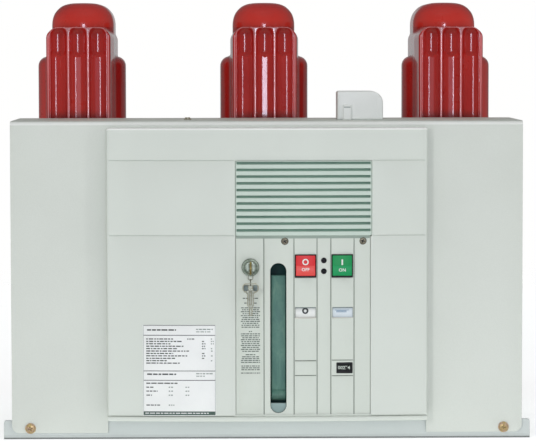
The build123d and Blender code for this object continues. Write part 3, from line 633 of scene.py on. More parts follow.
def fill(outer, holes, grid=None):
    """Triangles of the region between an outline and its holes, with grid points inside."""
    pts, edges = [], []
    for loop in [outer] + list(holes):
        s = len(pts)
        pts += list(loop)
        edges += [(s + i, s + (i + 1) % len(loop)) for i in range(len(loop))]
    fixed = len(pts)
    if grid:
        us, vs = grid
        g = np.array([(u, v) for u in us for v in vs], float)
        keep = inside(outer, g)
        for h in holes:
            keep &= ~inside(h, g)
        g = g[keep]
        if len(g):
            c = np.array(pts)
            near = np.array([np.min(np.hypot(c[:, 0] - x, c[:, 1] - y)) for x, y in g])
            pts += [tuple(p) for p in g[near > 0.45]]
    out = delaunay_2d_cdt([Vector(p) for p in pts], edges, [], 0, 1e-7)
    xy = [(p.x, p.y) for p in out[0]]
    home = {}
    for i, origin in enumerate(out[3]):
        for o in origin:
            home[o] = i
    tri = np.array([f for f in out[2]], int)
    xya = np.array(xy)
    mid = xya[tri].mean(axis=1)
    keep = inside(outer, mid)
    for h in holes:
        keep &= ~inside(h, mid)
    return xy, [tuple(t) for t in tri[keep]], [home[i] for i in range(fixed)]


def soft_rim(r, seg=4):
    """Quarter-round edge, as (inset, depth) pairs from the face to the wall."""
    return [(r * (1 - math.sin(a)), r * (1 - math.cos(a))) for a in [math.pi / 2 * i / seg for i in range(seg + 1)]]


def plate(sh, outer, holes, mapf, rim, back, hole_rim=None, grid=None, pockets=(), k=0, wall_k=None, back_k=None):
    """Plate with rounded front edges, through holes and pockets with a floor.
    outer, holes: functions of an inset; back: depth of the rear face; pockets: (outline, depth, rim, floor material)."""
    hole_rim = hole_rim or soft_rim(0.25, 2)
    wall_k = k if wall_k is None else wall_k
    grow = [lambda off, h=h: h(-off) for h in holes]
    pgrow = [lambda off, h=p[0]: h(-off) for p in pockets]
    loops = [outer(rim[0][0])]
    inner = [g(hole_rim[0][0]) for g in grow] + [g(p[2][0][0]) for g, p in zip(pgrow, pockets)]
    xy, tris, where = fill(loops[0], inner, grid)
    base = sh.add([mapf(u, v, rim[0][1]) for u, v in xy], tris, k)
    start, spans = 0, []
    for loop in [loops[0]] + inner:
        spans.append([base + i for i in where[start:start + len(loop)]])
        start += len(loop)

    def strip(prev, pts, depth, kk, flip):
        n0 = len(sh.v)
        sh.v += [mapf(u, v, depth) for u, v in pts]
        new = list(range(n0, n0 + len(pts)))
        m = len(pts)
        for i in range(m):
            a, b, c, d = prev[i], new[i], new[(i + 1) % m], prev[(i + 1) % m]
            sh.f.append((d, c, b, a) if flip else (a, b, c, d))
            sh.k.append(kk)
        return new

    ends = []
    for j, (span, fn) in enumerate(zip(spans, [outer] + grow)):
        profile = rim if j == 0 else hole_rim
        for off, dep in profile[1:]:
            span = strip(span, fn(off), dep, wall_k, j > 0)
        if back - profile[-1][1] > 1e-6:
            span = strip(span, fn(0.0), back, wall_k, j > 0)
        ends.append(span)
    for span, fn, p in zip(spans[1 + len(holes):], pgrow, pockets):
        for off, dep in p[2][1:]:
            span = strip(span, fn(off), dep, wall_k, True)
        if p[1] - p[2][-1][1] > 1e-6:
            span = strip(span, fn(0.0), p[1], wall_k, True)
        pxy, ptri, pw = fill(fn(0.0), [], grid)
        link = dict(zip(pw, span))
        n0 = len(sh.v)
        extra = [i for i in range(len(pxy)) if i not in link]
        sh.v += [mapf(pxy[i][0], pxy[i][1], p[1]) for i in extra]
        link.update({i: n0 + j for j, i in enumerate(extra)})
        sh.f += [tuple(link[i] for i in t) for t in ptri]
        sh.k += [p[3]] * len(ptri)
    bxy, btri, bw = fill(outer(0.0), [g(0.0) for g in grow], grid)
    link = dict(zip(bw, [i for e in ends for i in e]))
    n0 = len(sh.v)
    extra = [i for i in range(len(bxy)) if i not in link]
    sh.v += [mapf(bxy[i][0], bxy[i][1], back) for i in extra]
    link.update({i: n0 + j for j, i in enumerate(extra)})
    sh.f += [tuple(link[i] for i in reversed(t)) for t in btri]
    sh.k += [wall_k if back_k is None else back_k] * len(btri)


def steps(a, b, size):
    n = max(int(math.ceil((b - a) / size)), 1)
    return [a + (b - a) * i / n for i in range(n + 1)]


def basis(axis):
    a = Vector(axis).normalized()
    p = a.orthogonal().normalized()
    if abs(a.z) < 0.9:
        p = Vector((0, 0, 1)) - a * a.z
        p.normalize()
    return a, p, a.cross(p)


def lathe(sh, profile, centre, axis, n=32, k=0, spin=0.0, squash=None):
    """Turned shape: profile is (radius, distance along axis) from one end to the other."""
    a, p, q = basis(axis)
    c = Vector(centre)
    rows = []
    for r, s in profile:
        if r < 1e-6:
            rows.append([len(sh.v)])
            sh.v.append(tuple(c + a * s))
            continue
        rows.append(list(range(len(sh.v), len(sh.v) + n)))
        for i in range(n):
            w = 2 * math.pi * i / n + spin
            rr = r * (squash(w) if squash else 1.0)
            sh.v.append(tuple(c + a * s + p * (rr * math.cos(w)) + q * (rr * math.sin(w))))
    for ra, rb in zip(rows[:-1], rows[1:]):
        for i in range(n):
            j = (i + 1) % n
            if len(ra) == 1 and len(rb) == 1:
                continue
            if len(ra) == 1:
                f = (ra[0], rb[j], rb[i])
            elif len(rb) == 1:
                f = (ra[i], ra[j], rb[0])
            else:
                f = (ra[i], ra[j], rb[j], rb[i])
            sh.f.append(f)
            sh.k.append(k)
    return sh


def rbox(sh, x0, x1, y0, y1, z0, z1, r=0.5, seg=2, k=0, turn=None, centre=None):
    bm = bmesh.new()
    bmesh.ops.create_cube(bm, size=1.0)
    for v in bm.verts:
        v.co = Vector(((x0 + x1) / 2 + v.co.x * (x1 - x0), (y0 + y1) / 2 + v.co.y * (y1 - y0), (z0 + z1) / 2 + v.co.z * (z1 - z0)))
    if r > 0:
        bmesh.ops.bevel(bm, geom=list(bm.edges), offset=r, segments=seg, profile=0.5, affect="EDGES")
    bmesh.ops.recalc_face_normals(bm, faces=bm.faces)
    bm.verts.index_update()
    verts = [v.co.copy() for v in bm.verts]
    if turn:
        c = Vector(centre or ((x0 + x1) / 2, (y0 + y1) / 2, (z0 + z1) / 2))
        verts = [c + turn @ (v - c) for v in verts]
    faces = [tuple(v.index for v in f.verts) for f in bm.faces]
    bm.free()
    sh.add(verts, faces, k)


def tube(sh, path, r, n=12, closed=False, k=0):
    pts = [Vector(p) for p in path]
    m = len(pts)
    rows, side = [], None
    for i in range(m):
        if closed:
            t = (pts[(i + 1) % m] - pts[i - 1]).normalized()
        else:
            t = (pts[min(i + 1, m - 1)] - pts[max(i - 1, 0)]).normalized()
        if side is None:
            side = t.orthogonal().normalized()
        side = (side - t * side.dot(t)).normalized()
        up = t.cross(side)
        rows.append(list(range(len(sh.v), len(sh.v) + n)))
        sh.v += [tuple(pts[i] + side * (r * math.cos(2 * math.pi * j / n)) + up * (r * math.sin(2 * math.pi * j / n))) for j in range(n)]
    for i in range(m if closed else m - 1):
        a, b = rows[i], rows[(i + 1) % m]
        for j in range(n):
            sh.f.append((a[j], a[(j + 1) % n], b[(j + 1) % n], b[j]))
            sh.k.append(k)
    if not closed:
        sh.f += [tuple(reversed(rows[0])), tuple(rows[-1])]
        sh.k += [k, k]


def bar(sh, x0, x1, z0, z1, mapf, d0, d1, k=0, step=6.0):
    """Thin raised bar that follows a face: printed rules, dashes and ribs."""
    xs = steps(x0, x1, step)
    n0 = len(sh.v)
    for x in xs:
        sh.v += [mapf(x, z0, d0), mapf(x, z1, d0), mapf(x, z1, d1), mapf(x, z0, d1)]
    for i in range(len(xs) - 1):
        a, b = n0 + 4 * i, n0 + 4 * i + 4
        sh.f += [(a, b, b + 1, a + 1), (a + 1, b + 1, b + 2, a + 2), (a + 3, a + 2, b + 2, b + 3), (a, a + 3, b + 3, b)]
        sh.k += [k] * 4
    e = n0 + 4 * (len(xs) - 1)
    sh.f += [(n0, n0 + 1, n0 + 2, n0 + 3), (e, e + 3, e + 2, e + 1)]
    sh.k += [k, k]


def words(sh, x0, x1, z, height, mapf, d0, d1, rng, k=0, centred=False, gap=(0.7, 1.1), size=(2.0, 6.5)):
    """A line of plain dashes in the rhythm of small print."""
    spans, x = [], x0
    while x < x1 - 0.8:
        w = min(rng.uniform(*size), x1 - x)
        spans.append((x, x + w))
        x += w + rng.uniform(*gap)
    shift = ((x0 + x1) - (spans[0][0] + spans[-1][1])) / 2 if centred and spans else 0.0
    for a, b in spans:
        bar(sh, a + shift, b + shift, z - height / 2, z + height / 2, mapf, d0, d1, k, 9.0)


def letters(sh, text, cx, cz, height, mapf, d0, d1, k=0, bold=0.0):
    """Raised characters, centred on a point of a face."""
    cu = bpy.data.curves.new("glyphs", "FONT")
    cu.body, cu.size, cu.align_x, cu.align_y = text, 1.0, "CENTER", "CENTER"
    cu.resolution_u, cu.offset = 3, bold
    ob = bpy.data.objects.new("glyphs", cu)
    bpy.context.scene.collection.objects.link(ob)
    me = bpy.data.meshes.new_from_object(ob.evaluated_get(bpy.context.evaluated_depsgraph_get()))
    co = [v.co.copy() for v in me.vertices]
    faces = [tuple(p.vertices) for p in me.polygons]
    lo, hi = min(c.y for c in co), max(c.y for c in co)
    mid = (min(c.x for c in co) + max(c.x for c in co)) / 2
    s = height / (hi - lo)
    flat_pts = [((c.x - mid) * s + cx, (c.y - (lo + hi) / 2) * s + cz) for c in co]
    n = len(flat_pts)
    edge_use = {}
    for f in faces:
        for i in range(len(f)):
            e = (f[i], f[(i + 1) % len(f)])
            edge_use[e] = edge_use.get(e, 0) + 1
    rimmed = [e for e in edge_use if (e[1], e[0]) not in edge_use]
    verts = [mapf(u, v, d0) for u, v in flat_pts] + [mapf(u, v, d1) for u, v in flat_pts]
    out = list(faces) + [tuple(i + n for i in reversed(f)) for f in faces] + [(b, a, a + n, b + n) for a, b in rimmed]
    sh.add(verts, out, k)
    bpy.data.objects.remove(ob)
    bpy.data.curves.remove(cu)
    bpy.data.meshes.remove(me)


def hexagon(w):
    """Radius factor of a hexagon with across-corners radius 1."""
    a = (w % (math.pi / 3)) - math.pi / 6
    return math.cos(math.pi / 6) / math.cos(a)


def bolt(sh, place, axis, d=8.0, k=0, thread=0.0, spin=0.2, washer=True):
    """Hexagon head with chamfered corners on a plain washer, seen from outside; axis points outwards."""
    af, hh, wt = d * 1.63, d * 0.62, d * 0.19
    s = 0.0
    if washer:
        lathe(sh, [(0, 0), (d * 1.02, 0.0), (d * 1.04, 0.12 * wt), (d * 1.04, 0.85 * wt), (d * 1.0, wt), (0, wt)], place, axis, 36, k)
        s = wt
    rc = af / 2 / math.cos(math.pi / 6)
    c, a = Vector(place), Vector(axis).normalized()
    lathe(sh, [(0, s), (rc, s), (rc, s + hh * 0.80), (rc * 0.93, s + hh * 0.96), (rc * 0.84, s + hh), (0, s + hh)], c, a, 36, k, spin, hexagon)
    lathe(sh, [(0, s + hh), (rc * 0.72, s + hh), (rc * 0.70, s + hh + 0.18), (0, s + hh + 0.18)], c, a, 32, k, spin)
    if thread:
        prof, x = [(0, s + hh)], s + hh
        while x < s + hh + thread:
            prof += [(d / 2, x + 0.15), (d / 2 - 0.55, x + 0.65)]
            x += 1.0
        lathe(sh, prof + [(d / 2 - 0.8, x + 0.2), (0, x + 0.2)], c, a, 24, k)


def cross_screw(sh, place, axis, r, h, k=0, dark=1, spin=0.6, dome=0.5):
    """Pan head with a cross recess."""
    a, p, q = basis(axis)
    n = 40
    wide, long_ = r * 0.13, r * 0.62

    def depth(x, y):
        """How deep the recess is at a point of the head."""
        for u, v in ((x, y), (y, x)):
            if abs(u) < wide and abs(v) < long_:
                return min((long_ - abs(v)) * 0.9, h * 0.75)
        return 0.0
    rs = [r * t for t in (0.0, 0.08, 0.13, 0.17, 0.24, 0.32, 0.40, 0.48, 0.55, 0.60, 0.64, 0.70, 0.78, 0.86, 0.93, 0.98, 1.0)]
    rows = []
    c = Vector(place)
    n = 72
    for rr in rs:
        top = h - dome * h * (rr / r) ** 2 * 0.6 - (h * 0.22 * max(0.0, (rr / r - 0.86) / 0.14) ** 2)
        if rr == 0:
            rows.append([len(sh.v)])
            sh.v.append(tuple(c + a * (top - depth(0, 0))))
            continue
        rows.append(list(range(len(sh.v), len(sh.v) + n)))
        for i in range(n):
            w = 2 * math.pi * i / n
            x, y = rr * math.cos(w), rr * math.sin(w)
            sh.v.append(tuple(c + a * (top - depth(x, y)) + p * (x * math.cos(spin) - y * math.sin(spin)) + q * (x * math.sin(spin) + y * math.cos(spin))))
    rows.append(list(range(len(sh.v), len(sh.v) + n)))
    for i in range(n):
        w = 2 * math.pi * i / n
        x, y = r * math.cos(w), r * math.sin(w)
        sh.v.append(tuple(c + p * (x * math.cos(spin) - y * math.sin(spin)) + q * (x * math.sin(spin) + y * math.cos(spin))))
    for j, (ra, rb) in enumerate(zip(rows[:-1], rows[1:])):
        for i in range(n):
            m = (i + 1) % n
            if len(ra) == 1:
                sh.f.append((ra[0], rb[i], rb[m]))
            else:
                sh.f.append((ra[i], rb[i], rb[m], ra[m]))
            w = 2 * math.pi * (i + 0.5) / n
            rm = (rs[j] + rs[min(j + 1, len(rs) - 1)]) / 2
            sh.k.append(dark if depth(rm * math.cos(w), rm * math.sin(w)) > 0.2 * h else k)
    sh.f.append(tuple(reversed(rows[-1])))
    sh.k.append(k)


# ------------------------------------------------------------------ resin poles
def smin(a, b, k):
    h = np.clip(0.5 + 0.5 * (b - a) / k, 0.0, 1.0)
    return b * (1 - h) + a * h - k * h * (1 - h)


def smax(a, b, k):
    return -smin(-a, -b, k)


def rrect(x, y, cx, cy, hx, hy, r):
    qx, qy = np.abs(x - cx) - hx + r, np.abs(y - cy) - hy + r
    return np.hypot(np.maximum(qx, 0), np.maximum(qy, 0)) + np.minimum(np.maximum(qx, qy), 0) - r


def slab(d, z, z0, z1, r):
    """Plan distance d made into a solid between two heights, with rounded edges."""
    w = np.abs(z - (z0 + z1) / 2) - (z1 - z0) / 2
    a, b = d + r, w + r
    return np.minimum(np.maximum(a, b), 0) + np.hypot(np.maximum(a, 0), np.maximum(b, 0)) - r


CAP_CURVE = [(36.0, 446.0), (36.0, 449.0), (35.75, 453.2), (34.7, 458.3), (32.7, 463.0), (29.6, 467.0), (25.9, 470.3),
             (21.5, 472.6), (17.0, 473.9), (12.0, 474.65), (6.0, 474.93), (0.0, 475.0)]


def smooth_curve(pts, n):
    """Points along a smooth line through pts."""
    p = np.array(pts, float)
    t = np.zeros_like(p)
    t[1:-1] = (p[2:] - p[:-2]) / 2
    t[0], t[-1] = p[1] - p[0], p[-1] - p[-2]
    out = []
    for i in range(len(p) - 1):
        for s in np.linspace(0, 1, n, endpoint=False):
            h = (2 * s ** 3 - 3 * s ** 2 + 1, s ** 3 - 2 * s ** 2 + s, -2 * s ** 3 + 3 * s ** 2, s ** 3 - s ** 2)
            out.append(h[0] * p[i] + h[1] * t[i] + h[2] * p[i + 1] + h[3] * t[i + 1])
    out.append(p[-1])
    return np.array(out)


CAP_LINE = smooth_curve(CAP_CURVE, 4)
HEAD_HALF, FRONT_HALF, FLUTE_Y = 38.5, 35.8, 142.0
FACETS = [((-32.8, 145.0), (-11.2, 142.0)), ((-11.2, 142.0), (11.2, 142.0)), ((11.2, 142.0), (32.8, 145.0))]
LAND, FLUTE_TOP, SCOOP_Z = 1.3, 437.8, 419.0


def flute_cut(x, y, z):
    """Positive inside the flutes and the deeper scoops at their upper ends."""
    best = np.full(np.broadcast(x, z).shape, -50.0)
    for (xa, ya), (xb, yb) in FACETS:
        dx, dy = xb - xa, yb - ya
        size = math.hypot(dx, dy)
        a = size / 2 - LAND
        tx, ty, nx, ny = dx / size, dy / size, -dy / size, dx / size
        t = (x - (xa + xb) / 2) * tx + (y - (ya + yb) / 2) * ty
        s = (x - (xa + xb) / 2) * nx + (y - (ya + yb) / 2) * ny      # depth behind the facet
        up = np.maximum(z - FLUTE_TOP, 0.0)
        rho = np.hypot(t, up)
        level, wide = 4.4, 2.4
        rad = ((a - wide) ** 2 + level ** 2) / (2 * level)
        e = np.maximum(rho - wide, 0.0)
        d1 = level - (rad - np.sqrt(np.maximum(rad * rad - e * e, 0.0)))
        d1 = np.where(rho > a, -(rho - a) * 1.9, d1)
        rho2 = np.sqrt(t * t + up ** 2 + np.maximum(SCOOP_Z - z, 0.0) ** 2)
        d2 = np.sqrt(np.maximum(10.4 ** 2 - rho2 ** 2, 0.0)) - 4.0
        d2 = np.where(rho2 > 10.3, -3.0 - (rho2 - 10.3), d2)
        d = smax(d1, d2, 0.45)
        best = np.maximum(best, d - s)
    return best


def pole_field(x, y, z):
    """Signed measure of one pole's resin body, negative inside, x from the pole's own middle."""
    ax = np.abs(x)
    foot = slab(rrect(x, y, 0, 229.0, 58.0, 66.0, 14.0), z, 104.0, 117.0, 2.2)
    column = slab(np.hypot(x, y - 229.0) - 50.5, z, 90.0, 413.0, 11.0)
    half = FRONT_HALF + (HEAD_HALF - FRONT_HALF) * np.clip((y - 144.4) / 41.6, 0, 1)
    front = (FLUTE_Y + np.maximum(ax - 11.2, 0) * 3.0 / 21.6) - y
    plan = smax(ax - half, front, 3.2)
    head_plan = np.where(y > 297.5, np.hypot(x, y - 297.5) - HEAD_HALF, plan)
    block = smax(smax(plan, y - 262.0, 2.0), z - 446.0, 1.6)
    slope = ((ax - 27.5) * 14.5 + (z - 446.0) * 16.0) / 21.6
    head = smax(smax(head_plan, z - 446.0, 1.6), slope, 3.5)
    head = smax(head, 381.0 - z, 2.0)
    block = smax(block, slope, 3.5)
    spine = slab(rrect(x, y, 0, 266.0, 34.0, 48.0, 14.0), z, 160.0, 430.0, 4.0)
    boss = slab(rrect(x, y, 0, 277.5, 36.0, 58.5, 16.0), z, 187.0, 247.0, 4.0)
    rho = np.hypot(x, y - np.clip(y, 254.0, 299.0))
    w = np.interp(z, CAP_LINE[:, 1], CAP_LINE[:, 0], left=36.0, right=0.0)
    cap = smax(rho - w, 430.0 - z, 1.0)
    body = smin(column, block, 4.0)
    body = smin(body, foot, 2.0)
    body = smin(body, spine, 4.0)
    body = smin(body, boss, 3.0)
    body = smin(body, head, 0.6)
    body = smin(body, cap, 1.2)
    return smax(body, flute_cut(x, y, z), 0.7)


def pole_rows():
    cy = 235.0
    xs = []
    for a, b, st in ((-36.5, -31.0, 0.3), (-31.0, -13.0, 0.6), (-13.0, -9.4, 0.3), (-9.4, 9.4, 0.6), (9.4, 13.0, 0.3), (13.0, 31.0, 0.6), (31.0, 36.5, 0.3)):
        xs += list(np.arange(a, b - 1e-6, st))
    xs.append(36.5)
    front = [math.atan2(142.6 - cy, x) for x in xs]                    # about -90 degrees
    a0, a1 = front[0] % (2 * math.pi), front[-1] % (2 * math.pi)
    ang = list(front)
    span = (a0 - a1) % (2 * math.pi)
    # round the sides and the rear, a little closer near the corners of the fluted block
    marks = [0.3, 0.8, 1.4, 2.2, 3.2, 4.5, 6.0]
    total = math.degrees(span)
    rest = marks + list(np.linspace(8.0, total - 8.0, 132)) + [total - m for m in reversed(marks)]
    ang += [a1 + math.radians(d) for d in rest]
    dirs = np.array([(math.cos(a), math.sin(a)) for a in ang])
    zs = [105.0, 106.5, 110.0, 114.6, 115.2, 115.8, 116.3, 116.7, 116.95, 117.2, 117.6, 118.2, 119.2, 121.0, 124.0]
    zs += [135.0, 147.0, 157.0, 159.0, 159.8, 160.2, 160.8, 161.6, 162.8, 164.5, 170.0, 178.0, 184.0, 186.3, 187.1, 187.6, 188.4, 189.6, 191.2, 193.0]
    zs += [200.0, 210.0, 222.0, 234.0, 241.0, 243.0, 244.6, 245.8, 246.5, 247.0, 248.0, 250.0, 256.0, 270.0, 290.0, 310.0, 330.0, 350.0, 366.0, 376.0]
    zs += [379.5, 380.6, 381.4, 382.2, 384.0, 390.0, 397.0, 401.0, 403.5, 405.5]
    zs += list(np.arange(407.0, 434.0, 0.75)) + list(np.arange(434.0, 443.9, 0.5)) + list(np.arange(444.0, 445.95, 0.24)) + [445.97]
    zs = np.array(zs)
    lo = np.full((len(zs), len(dirs)), 3.0)
    hi = np.full((len(zs), len(dirs)), 118.0)
    for _ in range(30):
        mid = (lo + hi) / 2
        f = pole_field(mid * dirs[None, :, 0], cy + mid * dirs[None, :, 1], zs[:, None])
        lo, hi = np.where(f <= 0, mid, lo), np.where(f <= 0, hi, mid)
    r = (lo + hi) / 2
    rows = [[(r[i, j] * dirs[j, 0], cy + r[i, j] * dirs[j, 1], zs[i]) for j in range(len(dirs))] for i in range(len(zs))]
    # the domed cap: every ring is the same ridge line grown by the curve's width
    c2 = 276.5
    feet, heads = [], []
    for x, y, _ in rows[-1]:
        d = Vector((x, y - c2)).normalized()
        lo_t, hi_t = 0.0, 140.0
        for _ in range(40):
            m = (lo_t + hi_t) / 2
            px, py = d.x * m, c2 + d.y * m
            if math.hypot(px, py - min(max(py, 254.0), 299.0)) < 36.0:
                lo_t = m
            else:
                hi_t = m
        px, py = d.x * lo_t, c2 + d.y * lo_t
        sy = min(max(py, 254.0), 299.0)
        feet.append(sy)
        n = math.hypot(px, py - sy)
        heads.append((px / n, (py - sy) / n))
    for w, z in CAP_LINE:
        if w > 0.2:
            rows.append([(h[0] * w, s + h[1] * w, max(z, 445.99)) for h, s in zip(heads, feet)])
    rows.append([(h[0] * 0.15, s + h[1] * 0.15, 475.0) for h, s in zip(heads, feet)])
    return rows


POLE = pole_rows()


def ridge(p, q):
    """1 on the narrow lands between and beside the flutes, which take the material with the painted highlight."""
    ax, y = abs(p[0] + q[0]) / 2, (p[1] + q[1]) / 2
    return int(118.0 < p[2] < 437.0 and y < 146.0 and (10.45 < ax < 11.95 or 33.2 < ax < 34.7))


def make_pole(name, x0):
    sh = Shell()
    n = len(POLE[0])
    for row in POLE:
        sh.v += [(x + x0, y, z) for x, y, z in row]
    for i in range(len(POLE) - 1):
        for j in range(n):
            a, b = i * n + j, i * n + (j + 1) % n
            sh.f.append((a, b, b + n, a + n))
            sh.k.append(ridge(POLE[i][j], POLE[i][(j + 1) % n]))
    sh.f.append(tuple(reversed(range(n))))
    sh.k.append(0)
    last = (len(POLE) - 1) * n
    sh.f.append(tuple(range(last, last + n)))
    sh.k.append(0)
    sh.make("resin_" + name, ["resin", "arris"], replaces=["pole_" + name], smooth=32.0, weld=2e-6)


for label, px0 in POLE_X:
    make_pole(label, px0)


# ------------------------------------------------------------------ housing sheets
FOLD_R = 5.0
FOLD_L = FOLD_R * math.pi / 2
V0 = HOUSING_H - FOLD_R


def folded(u, v, d):
    """Front sheet, carried round the fold at its top edge and back over the housing."""
    if v <= V0:
        return (u, d, v)
    a = (v - V0) / FOLD_R
    if a <= math.pi / 2:
        return (u, FOLD_R - (FOLD_R - d) * math.cos(a), V0 + (FOLD_R - d) * math.sin(a))
    return (u, FOLD_R + (v - V0 - FOLD_L), HOUSING_H - d)


def front_sheet():
    h = HOUSING_W / 2
    rows = [V0 + FOLD_L * i / 8 for i in range(9)]
    end = V0 + FOLD_L + 19.0 - 0.15
    pts = [(-h, PANEL_Z0), (-COVER_HALF, PANEL_Z0), (-COVER_HALF, 30.0), (-30.0, 30.0), (-30.0, 298.0), (107.0, 298.0), (107.0, 30.0),
           (COVER_HALF, 30.0), (COVER_HALF, PANEL_Z0), (h, PANEL_Z0)]
    rad = [8.0, 1.2, 1.5, 0, 0, 0, 0, 1.5, 1.2, 8.0]
    pts += [(h, v) for v in rows] + [(h, end), (-h, end)] + [(-h, v) for v in reversed(rows)]
    rad += [0] * 9 + [0.6, 0.6] + [0] * 9
    sh = Shell()
    outer = lambda off: contour(pts, rad, off, 6, 30.0)
    holes = [ring(x, 12.0, 3.2, 24) for x in (-256.0, 256.0)]
    plate(sh, outer, holes, folded, soft_rim(0.45, 3), SHEET - 0.05, grid=(steps(-h, h, 24.0), rows + [60.0, 120.0, 180.0, 240.0, 315.0, end - 8]))
    sh.make("front_sheet", ["steel_paint"], replaces=["front_panel"], smooth=32)


front_sheet()


def top_sheet():
    h = HOUSING_W / 2
    sh = Shell()
    plate(sh, rect(-h, h, 24.0 + 0.15, HOUSING_D, 1.5, 4), [ring(-86.0, 60.0, 3.0, 24)], lambda u, v, d: (u, v, HOUSING_H - d),
          soft_rim(0.45, 3), SHEET - 0.05, grid=(steps(-h, h, 40.0), [60.0, 100.0]))
    sh.make("top_sheet", ["steel_paint"], replaces=["top_panel"], smooth=32)


top_sheet()


def side_sheet(name, side):
    sh = Shell()
    pts = [(2.0, SIDE_Z0), (REAR_Y, SIDE_Z0), (REAR_Y, REAR_H), (HOUSING_D, REAR_H), (HOUSING_D, HOUSING_H - 2.05), (5.4, HOUSING_H - 2.05), (5.4, 338.6), (2.0, 338.6)]
    outer = lambda off: contour(pts, [1.0, 1.5, 3.0, 12.0, 1.5, 0, 0, 0], off, 5)
    marks = [(14.0, 58.0), (14.0, 322.0), (126.0, 322.0), (318.0, 58.0), (318.0, 92.0), (172.0, 58.0), (14.0, 190.0), (126.0, 190.0)]
    plate(sh, outer, [ring(y, z, 3.5, 28) for y, z in marks], lambda u, v, d: (side * (HOUSING_W / 2 - d), u, v), soft_rim(0.4, 3), SHEET - 0.02,
          grid=(steps(2, REAR_Y, 40.0), steps(SIDE_Z0, HOUSING_H, 40.0)))
    sh.make("side_sheet_" + name, ["steel_paint"], replaces=["side_panel_" + name], smooth=32)
    sc = Shell()
    for i, (y, z) in enumerate(marks):
        cross_screw(sc, (side * (HOUSING_W / 2 - 1.2), y, z), (side, 0, 0), 3.4, 1.35, 0, 1, 0.3 + 0.7 * i, 0.3)
    sc.make("side_screws_" + name, ["screw", "dark"])


side_sheet("left", -1)
side_sheet("right", 1)


# ------------------------------------------------------------------ front cover
def cover():
    h = COVER_HALF
    sh = Shell()
    win = [(INSERT_X0, INSERT_Z0), (INSERT_X1, INSERT_Z0), (INSERT_X1, INSERT_Z1), (LOUVRE_X1, INSERT_Z1), (LOUVRE_X1, LOUVRE_Z1), (INSERT_X0, LOUVRE_Z1)]
    wrad = [0.8, 0.8, 0, 0, 0.8, 0.8]
    grooves = []
    for z in (222.0, 302.4):
        for x0, x1 in ((-h + 3.0, INSERT_X0 - 1.6), (LOUVRE_X1 + 1.6, h - 3.0)):
            grooves.append((rect(x0, x1, z - 0.40, z + 0.40, 0, 1, 6.0), 0.95, soft_rim(0.2, 2), 0))
    us = steps(-h, h, 8.0)
    plate(sh, lambda off: contour([(-h, COVER_Z0 + 5.4), (h, COVER_Z0 + 5.4), (h, COVER_Z1), (-h, COVER_Z1)], [0.4, 0.4, 3.0, 3.0], off, 5, 6.0),
          [lambda off: contour(win, wrad, off, 4, 6.0)], bowed, soft_rim(2.2, 5), 99.9,
          hole_rim=soft_rim(0.9, 4), grid=(us, [60.0, 100.0, 140.0, 180.0, 262.0, 320.0]), pockets=grooves)
    # rolled lip along the lower edge
    prof = [(-0.2, 5.2), (-0.9, 5.0), (-1.45, 4.4), (-1.75, 3.5), (-1.8, 2.5), (-1.55, 1.5), (-1.0, 0.7), (-0.2, 0.15), (0.8, 0.0), (4.0, 0.0), (4.0, 5.2)]
    xs = steps(-h + 0.2, h - 0.2, 5.0)
    n = len(prof)
    n0 = len(sh.v)
    for x in xs:
        e = min(h - abs(x), 6.0) / 6.0
        curl = 2.2 * (1 - math.sqrt(max(1 - (1 - e) ** 2, 0.0)))
        for d, z in prof:
            sh.v.append((x, face_y(x) + d + (curl * 1.0 if d < 3 else 0), COVER_Z0 + z))
    for i in range(len(xs) - 1):
        for j in range(n):
            a, b = n0 + i * n + j, n0 + i * n + (j + 1) % n
            sh.f.append((a, b, b + n, a + n))
            sh.k.append(0)
    sh.f += [tuple(n0 + j for j in range(n)), tuple(n0 + (len(xs) - 1) * n + j for j in reversed(range(n)))]
    sh.k += [0, 0]
    sh.make("cover_shell", ["cover"], replaces=["plastic_cover"], smooth=35)


cover()


# ------------------------------------------------------------------ louvre
def louvre():
    sh = Shell()
    x0, x1, z0, z1 = INSERT_X0 + 0.25, LOUVRE_X1 - 0.25, INSERT_Z1 + 0.7, LOUVRE_Z1 - 0.3
    slots = []
    for i in range(11):
        z = 299.6 - i * 7.185
        slots.append(rect(x0 + 0.95, x1 - 1.2, z - 1.35, z + 1.35, 0.5, 3, 6.0))
    mapf = lambda u, v, d: (u, face_y(u) - 0.9 + d, v)
    plate(sh, rect(x0, x1, z0, z1, 1.0, 3, 6.0), slots, mapf, soft_rim(0.8, 4), 7.0, hole_rim=soft_rim(0.75, 4),
          grid=(steps(x0, x1, 8.0), [z0 + 1.2]))
    # sloped screen behind the slots
    for i in range(11):
        z = 299.6 - i * 7.185
        xs = steps(x0 + 0.5, x1 - 0.6, 7.0)
        n0 = len(sh.v)
        for x in xs:
            y = face_y(x) - 0.9
            sh.v += [(x, y + 2.2, z - 1.9), (x, y + 5.6, z + 1.9), (x, y + 6.4, z + 1.9), (x, y + 3.0, z - 1.9)]
        for j in range(len(xs) - 1):
            for a, b in ((0, 1), (1, 2), (2, 3), (3, 0)):
                sh.f.append((n0 + 4 * j + a, n0 + 4 * j + b, n0 + 4 * j + 4 + b, n0 + 4 * j + 4 + a))
                sh.k.append(1)
        e = n0 + 4 * (len(xs) - 1)
        sh.f += [(n0, n0 + 1, n0 + 2, n0 + 3), (e + 3, e + 2, e + 1, e)]
        sh.k += [1, 1]
    sh.make("louvre", ["louvre", "louvre_back"], replaces=["louvre_grille"], smooth=35)


louvre()


# ------------------------------------------------------------------ control panel
PANEL_D = 0.9          # how far the insert lies behind the cover face


